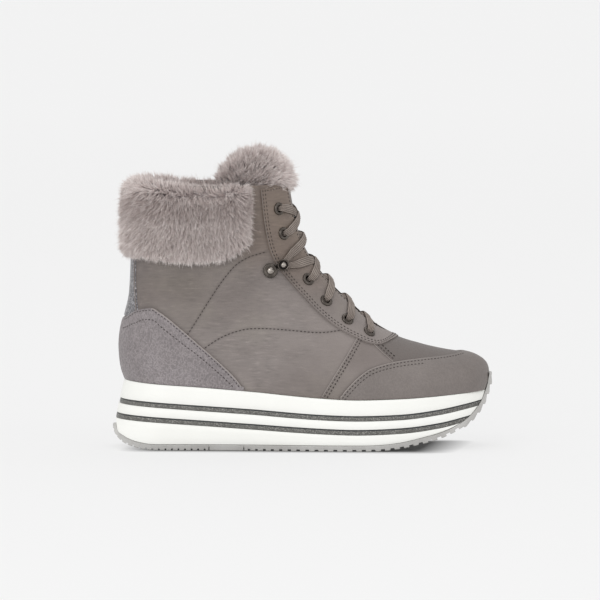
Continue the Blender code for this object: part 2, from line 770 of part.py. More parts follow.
def edge_rows(side, u, edge):
    """For each net line u, the share v at which it crosses an edge given as a height over x."""
    fine = np.linspace(0, 1, 241)
    place = net(side, u, fine)
    above = place[..., 1] - follow(place[..., 0], edge["x"], edge["z"])
    crossing = []
    for line in above:
        k = int(np.argmax(line > 0))
        share = 0.0 if k == 0 else line[k - 1] / (line[k - 1] - line[k])
        crossing.append(fine[max(k - 1, 0)] + share * fine[1])
    return np.array(crossing)


def build_overlay(name, edge, columns, rows, heel):
    """A leather piece that stands proud of the upper, cut between two larger forms of it, sole to edge."""
    rings = {}
    for side in SIDES:
        fine = np.linspace(0, 0.72, 400) if heel else np.linspace(1, 0.4, 400)
        reach = fine[int(np.argmax(edge_rows(side, fine, edge) < 0.012))]
        turn = np.linspace(0, 1, columns + 1)
        u = reach * turn if heel else 1 - (1 - reach) * turn
        tops = edge_rows(side, u, edge)
        lines = [
            net_surface(side, np.array([a]), np.linspace(0, 1, rows + 1) * max(b, 0.02))[0]
            for a, b in zip(u, tops)
        ]
        rings[side] = np.array(lines)
    strip = np.concatenate([rings["lateral"][::-1], rings["medial"][1:]])
    across = np.gradient(strip, axis=0)
    normal = np.cross(across, np.gradient(strip, axis=1))
    normal /= np.linalg.norm(normal, axis=-1, keepdims=True)
    middle = len(strip) // 2
    away = strip[middle, 0] - strip[0, 0]
    if normal[middle, 0, 0] * away[0] < 0:
        normal = -normal
    inner, outer = strip + OVERLAY_GAP * normal, strip + (OVERLAY_GAP + COUNTER_THICK) * normal
    for face in (inner, outer):
        face[:, 0, 2] = sole_z(face[:, 0, 0])
    loops = np.concatenate([outer, inner[:, ::-1]], axis=1)
    swept(name, loops, COUNTER_LEATHER, cap=row_cap(rows + 1))


# ---------------------------------------------------------------- tongue, cuff and their fur
TONGUE = table(
    "s half thick",
    (-11, 12.0, 2.6),
    (12, 15.0, 3.4),
    (40, 18.0, 4.0),
    (70, 20.5, 4.2),
    (100, 23.0, 4.2),
    (127, 25.0, 4.0),
)
TONGUE_DEPTH = WALL + 1.9  # its face lies this far below the outside of the upper


def build_tongue():
    """Padded leather tongue under the slot, from inside the vamp to the collar."""
    s = np.linspace(TONGUE["s"][0], SLOT_LENGTH + 0.6, 11)
    half, thick = (follow(s, TONGUE["s"], TONGUE[column])[:, None] for column in ("half", "thick"))
    across = half * np.linspace(-1, 1, 9)
    bulge = 1.6 * (1 - (across / half) ** 2) * ease(s / 30)[:, None]
    edge = 0.9 * np.abs(across / half) ** 6
    face = crown(s[:, None], across, bulge - TONGUE_DEPTH - edge)
    back = crown(s[:, None], across * 0.97, bulge - TONGUE_DEPTH - thick + edge)
    swept("tongue", np.concatenate([face, back[:, ::-1]], axis=1), LEATHER, cap=row_cap(9))


# The fur on the tongue's top, from a wing (turn 0) round the shin to the middle of the front (turn 1).
FUR_TOP = table(
    "turn top low thick lean",
    (0, 201.0, 194.5, 9.0, 0.0),
    (0.2, 208.0, 193.5, 14.0, 0.5),
    (0.45, 211.0, 192.0, 16.0, 1.0),
    (0.7, 212.5, 187.3, 16.0, 2.0),
    (1, 212.0, 186.3, 16.0, 4.0),
)
FUR_WRAP = math.radians(118)
FUR_RADII = (31.0, 25.0)
FUR_CENTRE_X = 91.0


def build_tongue_fur():
    """Fur on the tongue's top: a thick roll, curved round the shin, that leans back over the opening."""
    rings = []
    for place in np.linspace(-1, 1, 17):
        turn = 1 - abs(place)
        angle = place * FUR_WRAP
        top, low, thick, lean = (
            follow(turn, FUR_TOP["turn"], FUR_TOP[column]) for column in ("top", "low", "thick", "lean")
        )
        out = np.array([math.cos(angle), math.sin(angle)])
        centre = np.array([FUR_CENTRE_X, swing(110.0)]) + out * FUR_RADII
        ring = []
        for a in np.linspace(-math.pi / 2, 1.5 * math.pi, 10, endpoint=False):
            rise = math.copysign(abs(math.sin(a)) ** 0.75, math.sin(a))
            height = (top + low) / 2 + (top - low) / 2 * rise
            reach = thick / 2 * math.copysign(abs(math.cos(a)) ** 0.75, math.cos(a)) - lean * rise
            spot = centre + out * reach
            ring.append((spot[0], spot[1], height))
        rings.append(ring)
    swept("tongue_fur", rings, FUR)


CUFF = table(
    "x low top thick",
    (0, 131.5, 191.5, 10.0),
    (30, 131.0, 192.0, 10.5),
    (55, 130.0, 192.0, 10.5),
    (74, 130.5, 191.5, 10.0),
    (87, 133.5, 190.5, 9.0),
    (95, 140.0, 189.3, 7.5),
    (100, 149.0, 188.2, 6.0),
    (103, 160.0, 187.4, 4.0),
)
CUFF_FRONT_X = 103.0
CUFF_GAP = 1.2  # the cuff's net differs from the upper's
LINING_LOW = 152.0  # the fur lining inside the shaft ends here


def shaft_point(side, x_at_collar, z, offset):
    """A point of the shaft wall below or above a place on the collar, moved outwards by offset."""
    lean = np.interp(z, BACK[:, 1], BACK[:, 0]) - COLLAR_BACK_X
    far = (x_at_collar - COLLAR_BACK_X) / (CUFF_FRONT_X - COLLAR_BACK_X)
    x = x_at_collar + lean * (1 - far)
    if far < 1e-6:
        return np.array([x - offset, swing(x), z])
    return form_point(side, x, z) + offset * form_normal(side, x, z, h=0.2 if far < 0.05 else 0.4) * (1, 1, 0)


def build_fur_cuff():
    """The turned-down cuff: fur over the collar's edge, hanging outside as a flap and inside as a lining."""
    xs = COLLAR_BACK_X + (CUFF_FRONT_X - COLLAR_BACK_X) * round_collar(np.linspace(0, 1, 13))
    rings = []
    path = [("lateral", x) for x in xs[::-1]] + [("medial", x) for x in xs[1:]]
    for side, x in path:
        low, top, thick = (follow(x, CUFF["x"], CUFF[column]) for column in ("low", "top", "thick"))
        outside, inside, lining = CUFF_GAP, -(WALL + CUFF_GAP), 0.55 * thick
        section = (
            (outside, COLLAR_Z + 1.2),
            (outside, 0.5 * COLLAR_Z + 0.5 * low),
            (outside, low + 2.5),
            (outside + 0.45 * thick, low),
            (outside + 0.92 * thick, low + 5.0),
            (outside + thick, low + 0.5 * (176.0 - low)),
            (outside + 0.95 * thick, 177.0),
            (outside + 0.6 * thick, 0.3 * 177.0 + 0.7 * top),
            (-WALL / 2, top),
            (inside - 0.6 * lining, 0.25 * 178.0 + 0.75 * top),
            (inside - lining, 178.0),
            (inside - 0.7 * lining, LINING_LOW + 3.0),
            (inside - 0.2 * lining, LINING_LOW),
            (inside, LINING_LOW + 3.0),
            (inside, 0.5 * COLLAR_Z + 0.5 * LINING_LOW),
            (inside, COLLAR_Z + 1.2),
        )
        rings.append([shaft_point(side, x, z, offset) for offset, z in section])
    flap = ((2, 3, 4), (1, 2, 4, 5), (0, 1, 5, 6), (0, 6, 7, 8), (0, 8, 15))
    lining_end = ((8, 9, 10, 15), (10, 11, 14, 15), (11, 12, 13, 14))
    swept("fur_cuff", rings, FUR, cap=flap + lining_end)


# ---------------------------------------------------------------- lacing
def build_eyelets():
    """A turned eyelet through each lace hole, with its flange over the facing."""
    rim, bore, barrel = EYELET["flange"], EYELET["bore"], EYELET["barrel"]
    foot, crest = OVERLAY, OVERLAY + EYELET["proud"]
    profile = (
        (bore, -WALL - 0.2),
        (barrel, -WALL - 0.2),
        (barrel, foot),
        (rim, foot),
        (rim - 0.6, crest - 0.2),
        (bore + EYELET["funnel"], crest),
    )
    for side in SIDES:
        for k, (at, axis) in enumerate(eyelet_axes(side)):
            turned(f"eyelet_{side}_{k + 1}", profile, at, axis, 8, METAL)


def build_hooks():
    """A formed lacing hook on each side: riveted plate, neck on the slot's side and head folded back over it."""
    for side in SIDES:
        at, axis = form_point(side, *HOOK_RIVET), form_normal(side, *HOOK_RIVET)
        head = form_point(side, *HOOK_HEAD)
        ahead = head - at
        ahead -= axis * (ahead @ axis)
        ahead /= np.linalg.norm(ahead)
        across = np.cross(axis, ahead)
        plate, half, wide = HOOK["plate"], HOOK["half"], HOOK["head_half"]
        floor = OVERLAY + 0.2
        roof = floor + HOOK["rise"]
        back, neck, lip = HOOK["back"], HOOK["neck"], HOOK["lip"]
        strip = (
            (back, floor, half),
            (neck, floor, half),
            (neck, roof, half),
            (lip, roof, wide),
            (lip, roof - plate, wide),
            (neck - plate, roof - plate, half),
            (neck - plate, floor + plate, half),
            (back, floor + plate, half),
        )
        rings = [
            [at + ahead * a + axis * h + across * w * sign for a, h, w in strip]
            for sign in (-1, 1)
        ]
        hook = swept(f"hook_{side}", rings, METAL)
        disc = peg(at, axis, HOOK["disc"], floor, floor + plate, sides=12, name=f"cutter_disc_{side}")
        rivet = turned_dome(f"cutter_rivet_head_{side}", at, axis, floor + plate, *HOOK_RIVET_HEAD)
        shank = peg(at, axis, HOOK["shank"], -WALL - 0.2, floor + 0.3, sides=6, name=f"cutter_shank_{side}")
        dome = turned_dome(f"cutter_dome_{side}", at + ahead * HOOK["dome_at"], axis, roof, *HOOK_DOME)
        for piece in (disc, rivet, shank, dome):
            boolean(hook, piece, "UNION")


def turned_dome(name, at, axis, foot, radius, height, sides=8):
    """A low round dome that stands on foot and reaches a little below it, to join what it stands on."""
    turn = Vector(axis).to_track_quat("Z", "X").to_matrix()
    angles = np.arange(sides) * 2 * math.pi / sides
    rings = []
    for share, rise in ((1.0, -0.3 / height), (1.0, 0.3), (0.7, 0.8), (0.2, 1.0)):
        r, h = share * radius, foot + rise * height
        rings.append([at + np.array(turn @ Vector((r * math.cos(a), r * math.sin(a), h))) for a in angles])
    return swept(name, rings, None, hidden=True)


LACE_WIDTH = 5.0
LACE_THICK = 1.2
LACE_LIFT = OVERLAY + EYELET["proud"] + 1.9  # its middle at a turn, above the upper's face
LACE_DIP = 1.8  # how far it dips between the two sides
LACE_PASS = 1.6  # how much higher the upper strand runs where two cross


def lace_turns(side):
    """(s, y) of the lace's turns on one side, bottom to top: over each eyelet, and in the hook."""
    places = list(zip(EYELETS["x"], EYELETS["z"]))
    places.insert(4, HOOK_NECK)
    return [(crown_reach(x, z), SIDES[side] * float(half_width(side, x, z))) for x, z in places]


def build_lace():
    """The crossings of the lace over the slot, as flat bars joined where they meet."""
    bars = []
    for k in range(len(EYELETS["x"])):
        for here, there in (("lateral", "medial"), ("medial", "lateral")):
            (s0, y0), (s1, y1) = lace_turns(here)[k], lace_turns(there)[k + 1]
            t = np.linspace(-0.02, 1.02, 6)
            s, y = s0 + (s1 - s0) * t, y0 + (y1 - y0) * t
            crossing = np.exp(-(((t - 0.5) / 0.22) ** 2))
            lift = LACE_LIFT - LACE_DIP * ease(s / 60) * np.sin(math.pi * np.clip(t, 0, 1)) ** 2
            lift += (LACE_PASS if here == "lateral" else 0.5) * crossing
            middle, above = crown(s, y, lift), crown(s, y, lift + 1)
            ahead = np.gradient(middle, axis=0)
            flat = np.cross(ahead, above - middle)
            flat *= LACE_WIDTH / 2 / np.linalg.norm(flat, axis=1, keepdims=True)
            up = (above - middle) * LACE_THICK / 2
            corners = [middle - flat - up, middle + flat - up, middle + flat + up, middle - flat + up]
            bars.append(np.stack(corners, axis=1))
    lace = swept("lace", bars[0], LACE)
    for k, rings in enumerate(bars[1:]):
        boolean(lace, swept(f"cutter_lace_{k}", rings, None, hidden=True), "UNION")


def build():
    for obj in list(bpy.data.objects):
        bpy.data.objects.remove(obj)
    build_outsole()
    build_midsole()
    build_stripes()
    build_insole()
    build_upper()
    build_overlay("heel_counter", COUNTER_EDGE, 12, 4, heel=True)
    build_overlay("toe_guard", GUARD_EDGE, 12, 6, heel=False)
    build_tongue()
    build_tongue_fur()
    build_fur_cuff()
    build_eyelets()
    build_hooks()
    build_lace()


build()
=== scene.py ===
"""Looks for a right-foot winter sneaker boot with a fur cuff, laces, hooks and a striped platform sole.

The boot stands on the frame's floor, toe towards +X and its outer side towards -Y. Sizes are in millimetres
in the shoemaker's own directions: x from the back of the sole towards the toe, y from the heel's centre line
towards the inner side of the foot, z up from the floor. to_frame() turns them into the frame's metres.
"""

import math

import bmesh
import bpy
import numpy as np
from mathutils import Matrix, Vector


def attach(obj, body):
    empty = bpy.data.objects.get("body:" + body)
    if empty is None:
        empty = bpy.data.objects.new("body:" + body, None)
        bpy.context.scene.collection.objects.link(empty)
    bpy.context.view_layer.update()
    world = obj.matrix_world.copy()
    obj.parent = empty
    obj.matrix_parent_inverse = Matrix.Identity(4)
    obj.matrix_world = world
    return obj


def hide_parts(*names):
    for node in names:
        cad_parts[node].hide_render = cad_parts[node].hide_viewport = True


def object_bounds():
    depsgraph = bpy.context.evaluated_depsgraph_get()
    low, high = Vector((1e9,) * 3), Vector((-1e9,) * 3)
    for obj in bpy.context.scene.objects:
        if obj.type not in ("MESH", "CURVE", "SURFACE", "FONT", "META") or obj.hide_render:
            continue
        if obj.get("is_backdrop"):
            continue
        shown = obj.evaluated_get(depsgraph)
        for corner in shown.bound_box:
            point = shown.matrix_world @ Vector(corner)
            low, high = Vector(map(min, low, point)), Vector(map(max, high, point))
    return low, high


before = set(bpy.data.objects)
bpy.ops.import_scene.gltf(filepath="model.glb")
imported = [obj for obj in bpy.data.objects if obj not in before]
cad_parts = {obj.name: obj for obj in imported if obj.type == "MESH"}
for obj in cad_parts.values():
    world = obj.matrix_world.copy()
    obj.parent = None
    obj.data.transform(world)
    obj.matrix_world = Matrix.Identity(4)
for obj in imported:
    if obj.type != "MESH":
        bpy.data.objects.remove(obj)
cad_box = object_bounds()

# ================================================================ studio
# A pale paper floor, a large key light from the front, a weaker one from the toe's side and one overhead,
# and a long lens that looks at the outer side from four degrees above the floor.
LOOK_AT = (-0.0006, -0.045, 0.1064)
CAMERA_ELEVATION = math.radians(4.0)
CAMERA_DISTANCE = 6.0
VIEW_WIDTH = 0.42  # metres across the frame, at the boot's outer side
SENSOR = 36.0

camera_data = bpy.data.cameras.new("camera")
camera_data.sensor_width = SENSOR
camera_data.lens = SENSOR * CAMERA_DISTANCE / VIEW_WIDTH
camera = bpy.data.objects.new("camera", camera_data)
bpy.context.scene.collection.objects.link(camera)
back_off = Vector((0, -math.cos(CAMERA_ELEVATION), math.sin(CAMERA_ELEVATION))) * CAMERA_DISTANCE
camera.location = Vector(LOOK_AT) + back_off
camera.rotation_euler = (math.pi / 2 - CAMERA_ELEVATION, 0, 0)
bpy.context.scene.camera = camera
bpy.context.scene.view_settings.view_transform = "Standard"


def linear(hex_colour):
    """An sRGB hex colour as linear RGBA."""
    shares = [int(hex_colour[i : i + 2], 16) / 255 for i in (1, 3, 5)]
    return (*[c / 12.92 if c <= 0.04045 else ((c + 0.055) / 1.055) ** 2.4 for c in shares], 1.0)


def socket_of(source):
    """A node's first output in use, or the socket itself."""
    if isinstance(source, bpy.types.Node):
        return next(output for output in source.outputs if output.enabled)
    return source


def add_node(material, kind, inputs=None, stops=(), **settings):
    """Adds a shader node. Its inputs are values, hex colours, or the nodes or sockets that feed them; stops
    are the places and colours of a ramp, as hex or as a plain grey."""
    tree = material.node_tree
    node = tree.nodes.new("ShaderNode" + kind)
    for name, value in settings.items():
        setattr(node, name, value)
    for name, value in (inputs or {}).items():
        if isinstance(socket_of(value), bpy.types.NodeSocket):
            tree.links.new(socket_of(value), node.inputs[name])
        else:
            node.inputs[name].default_value = linear(value) if isinstance(value, str) else value
    if stops:
        ramp = node.color_ramp.elements
        ramp[0].position, ramp[1].position = stops[0][0], stops[-1][0]
        for at, _ in stops[1:-1]:
            ramp.new(at)
        for element, (_, colour) in zip(ramp, stops):
            element.color = linear(colour) if isinstance(colour, str) else (colour, colour, colour, 1)
    return node


def feed(material, **sources):
    """Links nodes to the sockets of a material's Principled shader."""
    shader = material.node_tree.nodes["Principled BSDF"]
    for name, source in sources.items():
        material.node_tree.links.new(socket_of(source), shader.inputs[name.replace("_", " ")])


def new_material(name, colour, roughness, **inputs):
    """A material with its Principled shader, ready for more nodes."""
    material = bpy.data.materials.new(name)
    material.use_nodes = True
    shader = material.node_tree.nodes["Principled BSDF"]
    shader.inputs["Base Color"].default_value = linear(colour)
    shader.inputs["Roughness"].default_value = roughness
    for key, value in inputs.items():
        shader.inputs[key.replace("_", " ")].default_value = value
    return material


def area_light(name, place, size, power):
    """A soft box that faces the middle of the boot."""
    data = bpy.data.lights.new(name, "AREA")
    data.size = size
    data.energy = power
    light = bpy.data.objects.new(name, data)
    light.location = place
    light.rotation_euler = (Vector((0, 0, 0.09)) - Vector(place)).to_track_quat("-Z", "Y").to_euler()
    bpy.context.scene.collection.objects.link(light)


area_light("key", (-1.1, -2.6, 1.7), 2.0, 25)
area_light("fill", (1.9, -1.9, 0.9), 1.6, 4)
area_light("overhead", (0.0, 0.5, 2.4), 2.2, 9)
world = bpy.data.worlds.new("studio")
world.use_nodes = True
backdrop = world.node_tree.nodes["Background"]
backdrop.inputs["Color"].default_value = linear("#ffffff")
backdrop.inputs["Strength"].default_value = 0.8
bpy.context.scene.world = world

# Floor: matt paper with a painted glow, which keeps the lamps' shadows faint. The glow is taken away where
# the boot covers it, as a painted contact shadow, and rises a little far away, where the lamps reach less.
bpy.ops.object.select_all(action="DESELECT")
bpy.ops.mesh.primitive_grid_add(x_subdivisions=8, y_subdivisions=8, size=24.0)
floor = bpy.context.object
floor.name = "paper_floor"
paper = new_material("matt paper with painted glow", "#7b7b7b", 0.95, Emission_Color=linear("#ffffff"))
place = add_node(paper, "TexCoord").outputs["Object"]
turn = {"Location": (0.003, 0.0, 0.0), "Rotation": (0, 0, 0.107), "Scale": (1.0, 1.6, 1.0)}
# Inside a rounded box round the boot's footprint the glow fades out: the painted contact shadow.
from_middle = add_node(paper, "Mapping", {"Vector": place, **turn})
sideways = add_node(paper, "VectorMath", {0: from_middle}, operation="ABSOLUTE")
past_edge = add_node(paper, "VectorMath", {0: sideways, 1: (0.09, 0.066, 1.0)}, operation="SUBTRACT")
beyond = add_node(paper, "VectorMath", {0: past_edge, 1: (0.0, 0.0, 0.0)}, operation="MAXIMUM")
gap = add_node(paper, "VectorMath", {0: beyond}, operation="LENGTH")
painted_glow = add_node(paper, "MapRange", {"Value": gap, "From Max": 0.03, "To Min": 0.0, "To Max": 0.61})
spread = add_node(paper, "Mapping", {"Vector": place, "Scale": (0.2, 0.2, 1.0)})
far = add_node(paper, "TexGradient", {"Vector": spread}, gradient_type="SPHERICAL").outputs["Fac"]
lift = add_node(paper, "MapRange", {"Value": far, "To Min": 0.07, "To Max": 0.035})
feed(paper, Emission_Strength=add_node(paper, "Math", {0: painted_glow, 1: lift}, operation="ADD"))
floor.data.materials.append(paper)
floor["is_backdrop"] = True

# ================================================================ outsole
# One moulded sheet of pale grey rubber, rolled up at the heel and wrapped up the toe, with cross lugs
# that show as small dark slots along its edge, a plain block under the waist and saw teeth up the toe.
SOLE_LENGTH = 270.0
FRAME_ORIGIN = (SOLE_LENGTH / 2, 1.5, 0.0)  # the frame's origin in the shoe's sizes
HEEL_X, TOE_X = 12.0, 263.0  # back and front of the upper where it meets the sole
HEEL_ROUND, TOE_ROUND = 33.0, 50.0
TIP_POWER = 2.15
LEDGE, SIDE_FLARE = 2.6, 2.2
HEEL_LEDGE, HEEL_FLARE = 1.4, 11.4
TIP_HALF = 9.0
SIDES = {"lateral": -1.0, "medial": 1.0}


def table(columns, *rows):
    """A small table as a dictionary of its named columns."""
    return dict(zip(columns.split(), np.array(rows, float).T))


PLAN = table(
    "x lateral medial swing",
    (0, 32.0, 32.0, 0.0), (30, 33.0, 32.0, 0.0), (60, 33.5, 30.5, 0.0), (95, 35.5, 29.5, 0.0),
    (130, 41.0, 33.5, 0.4), (160, 45.5, 39.5, 1.0), (185, 46.5, 44.0, 1.6), (210, 44.5, 45.0, 2.6),
    (235, 40.5, 43.0, 4.2), (270, 36.0, 40.0, 6.5),
)
SOLE_LEVELS = table(
    "x top upper_high upper_low lower_high lower_low",
    (0, 49.2, 35.5, 31.7, 25.1, 21.1), (24, 47.2, 34.3, 30.5, 23.9, 20.0),
    (63, 44.6, 31.7, 27.8, 21.4, 17.5), (102, 41.5, 29.2, 25.3, 18.9, 14.9),
    (148, 37.5, 26.0, 22.1, 16.3, 12.3), (174, 36.3, 25.2, 21.3, 15.5, 11.5),
    (203, 36.9, 25.9, 22.0, 16.4, 12.4), (232, 38.5, 28.9, 25.0, 19.5, 15.6),
    (250, 39.7, 31.9, 28.1, 23.0, 19.4), (270, 40.9, 35.3, 31.7, 27.2, 23.8),
)
GROUND_LINE = table(
    "x z",
    (2.5, 15.8), (2.9, 13.0), (4.4, 9.8), (9.0, 5.4), (16.0, 2.5), (25.0, 0.6), (33.0, 0.0), (60.0, 0.0),
    (100.0, 0.0), (140.0, 0.0), (176.0, 0.0), (186.0, 0.15), (196.0, 0.8), (207.0, 2.2), (218.0, 4.6),
    (229.0, 7.2), (238.0, 10.3), (246.0, 14.1), (253.4, 19.0), (259.6, 25.2), (264.2, 32.0),
    (267.2, 39.4), (268.9, 46.0), (269.8, 51.8),
)
OUTSOLE = table("x thick", (0, 2.6), (2.5, 2.6), (9, 4.2), (222, 4.2), (245, 3.5), (262, 2.5), (270, 1.9))
LUGS = table("x pitch slot", (0, 4.6, 1.5), (70, 4.6, 1.5), (95, 5.2, 1.9), (150, 6.6, 3.0), (270, 6.9, 3.3))
LUG_DEPTH = 1.5
PLAIN_SHANK = (70.5, 95.0)
SAW_FROM, SAW_TOOTH = 247.0, 1.1  # where the saw teeth start, and how far they stand out


def follow(rows, column, at):
    """Reads a table's column over its first one by a monotone cubic, level past the table's ends."""
    xs, ys = next(iter(rows.values())), rows[column]
    at = np.clip(np.asarray(at, float), xs[0], xs[-1])
    step = np.diff(xs)
    slope = np.diff(ys) / step
    inner = np.zeros(len(xs))
    same = slope[1:] * slope[:-1] > 0
    inner[1:-1][same] = 2 / (1 / slope[1:][same] + 1 / slope[:-1][same])
    inner[0], inner[-1] = slope[0], slope[-1]
    i = np.clip(np.searchsorted(xs, at) - 1, 0, len(xs) - 2)
    t = (at - xs[i]) / step[i]
    return (
        ys[i] * (1 + 2 * t) * (1 - t) ** 2
        + ys[i + 1] * t * t * (3 - 2 * t)
        + step[i] * (inner[i] * t * (1 - t) ** 2 + inner[i + 1] * t * t * (t - 1))
    )


def smooth_line(points, per_span=10):
    """A centripetal Catmull-Rom curve through a table's x and z, as a fine polyline."""
    knots = np.column_stack([points["x"], points["z"]])
    ends = (2 * knots[0] - knots[1], 2 * knots[-1] - knots[-2])
    knots = np.vstack([ends[0], knots, ends[1]])
    when = np.concatenate([[0], np.cumsum(np.sqrt(np.linalg.norm(np.diff(knots, axis=0), axis=1)))])
    line = []
    for i in range(1, len(knots) - 2):
        for t in np.linspace(when[i], when[i + 1], per_span, endpoint=False):
            low = [
                ((when[k + 1] - t) * knots[k] + (t - when[k]) * knots[k + 1]) / (when[k + 1] - when[k])
                for k in range(i - 1, i + 2)
            ]
            mid = [
                ((when[i + 1 + k] - t) * low[k] + (t - when[i - 1 + k]) * low[k + 1])
                / (when[i + 1 + k] - when[i - 1 + k])
                for k in (0, 1)
            ]
            line.append(((when[i + 1] - t) * mid[0] + (t - when[i]) * mid[1]) / (when[i + 1] - when[i]))
    return np.array(line + [knots[-2]])


def unit(vectors):
    """Vectors made one long."""
    return vectors / np.maximum(np.linalg.norm(vectors, axis=-1, keepdims=True), 1e-9)


def length_along(line):
    """How far along a polyline each of its points lies."""
    return np.concatenate([[0], np.cumsum(np.linalg.norm(np.diff(line, axis=0), axis=1))])


def part_way(line, reach, at):
    """The numbers of a line's points at lengths along it, where reach is how far along each point lies."""
    return np.stack([np.interp(at, reach, column) for column in line.T], axis=-1)


def rounded(share, power=2.0):
    """Rises from 0 to 1 as a quarter of an ellipse does."""
    t = 1 - np.clip(share, 0, 1)
    return (1 - t**power) ** (1 / power)


def sole_z(x, level="top"):
    """Height of one of the sole's levels at x."""
    return follow(SOLE_LEVELS, level, x)


def swing(x):
    """Where the middle of the foot lies at x: the plan turns to the inner side at the toe."""
    return follow(PLAN, "swing", x)


def sole_half(side, x, out=0.0, heel_out=None):
    """Half width of the lasted outline at x, made larger all round by out."""
    back = HEEL_X - (out if heel_out is None else heel_out)
    front = TOE_X + out
    heel_tip = rounded((x - back) / (HEEL_ROUND + out), TIP_POWER)
    tips = heel_tip * rounded((front - x) / (TOE_ROUND + out), TIP_POWER)
    return (follow(PLAN, side, x) + out) * tips


def flare(x, z):
    """(out, heel_out) of the sole's wall at a height: it stands out further towards the floor."""
    depth = np.clip(1 - z / sole_z(x), 0, 1)
    return LEDGE + SIDE_FLARE * depth, HEEL_LEDGE + HEEL_FLARE * depth


def to_frame(points):
    """The shoe's millimetres to metres in the frame."""
    return (np.asarray(points, float) - FRAME_ORIGIN) * 0.001


def grid_faces(rows, columns, wrap_rows=False, wrap_columns=False):
    """Quads between the points of a grid, row after row."""
    i, j = np.meshgrid(
        np.arange(rows if wrap_rows else rows - 1),
        np.arange(columns if wrap_columns else columns - 1),
        indexing="ij",
    )
    i, j = i.ravel(), j.ravel()
    n, m = (i + 1) % rows, (j + 1) % columns
    return np.stack([i * columns + j, i * columns + m, n * columns + m, n * columns + j], axis=1).tolist()


def tube_faces(count, around):
    """Quads round a row of rings, closed by a face at each end."""
    last = (count - 1) * around
    ends = [tuple(range(around)), tuple(range(last, last + around))]
    return grid_faces(count, around, wrap_columns=True) + ends


def pick_only(piece):
    """Selects one piece and makes it the active one."""
    bpy.ops.object.select_all(action="DESELECT")
    piece.select_set(True)
    bpy.context.view_layer.objects.active = piece


def new_piece(name, points, faces, *materials, smooth=30.0):
    """A mesh object from points in millimetres, its faces turned outwards, its edges soft under an angle."""
    mesh = bpy.data.meshes.new(name)
    mesh.from_pydata(to_frame(points).tolist(), [], faces)
    piece = bpy.data.objects.new(name, mesh)
    bpy.context.scene.collection.objects.link(piece)
    for material in materials:
        mesh.materials.append(material)
    pick_only(piece)
    bpy.ops.object.mode_set(mode="EDIT")
    bpy.ops.mesh.select_all(action="SELECT")
    bpy.ops.mesh.normals_make_consistent(inside=False)
    if bmesh.from_edit_mesh(mesh).calc_volume(signed=True) < 0:
        bpy.ops.mesh.flip_normals()
    bpy.ops.object.mode_set(mode="OBJECT")
    bpy.ops.object.shade_smooth_by_angle(angle=math.radians(smooth))
    return piece


def skin(name, rings, material, smooth=70.0, joined=False):
    """A closed piece over a row of rings, with a face at each end unless the last is joined to the first."""
    rings = np.asarray(rings)
    count, around = rings.shape[:2]
    faces = grid_faces(count, around, True, True) if joined else tube_faces(count, around)
    return new_piece(name, rings.reshape(-1, 3), faces, material, smooth=smooth)


def paint(piece, name, values):
    """Stores one number for each point, for the materials to read."""
    layer = piece.data.attributes.new(name, "FLOAT", "POINT")
    layer.data.foreach_set("value", np.asarray(values, np.float32))


def settle(piece, slot_name, *nodes):
    """Every piece rides on the boot's one body; some stand for CAD nodes."""
    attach(piece, "root")
    if nodes:
        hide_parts(*nodes)


ground = smooth_line(GROUND_LINE, 16)
ground[:, 1] = np.maximum(ground[:, 1], 0.0)
into_sole = np.gradient(ground, axis=0)
into_sole = np.column_stack([-into_sole[:, 1], into_sole[:, 0]])
into_sole = unit(into_sole)
outsole_thick = follow(OUTSOLE, "thick", ground[:, 0])
ground_reach = length_along(ground)


def tread_stations():
    """(distance along the ground line, depth of the tread there) from the heel to the top of the toe."""
    stations, s = [(0.0, 0.0)], 2.4  # the first slot is this far up the heel
    lean = 0.25  # the slots' walls lean this far
    while s < ground_reach[-1] - 2.0:
        x = float(np.interp(s, ground_reach, ground[:, 0]))
        pitch = float(follow(LUGS, "pitch", x))
        slot = float(follow(LUGS, "slot", x))
        if x > SAW_FROM:
            stations += [(s, 0.0), (s + 0.2, -SAW_TOOTH), (s + 1.9, -SAW_TOOTH), (s + 0.9 * pitch, 0.0)]
            s += pitch
        elif PLAIN_SHANK[0] - 2.5 < x < PLAIN_SHANK[1]:
            for mark in PLAIN_SHANK:
                at = float(np.interp(mark, ground[:, 0], ground_reach))
                stations += [(at - 0.4, 0.0), (at - 0.25, 2.6), (at + 0.25, 2.6), (at + 0.4, 0.0)]
            s = float(np.interp(PLAIN_SHANK[1] + 2.6, ground[:, 0], ground_reach))
        else:
            up_heel = 1 - float(np.clip((x - 3) / 16, 0, 1))  # the slots are shallower up the heel's roll
            deep = LUG_DEPTH * (1 - 0.7 * up_heel)
            stations += [(s, 0.0), (s + lean, deep), (s + slot - lean, deep), (s + slot, 0.0)]
            s += pitch
    stations.append((ground_reach[-1], 0.0))
    return [pair for pair in stations if pair[0] <= ground_reach[-1]]


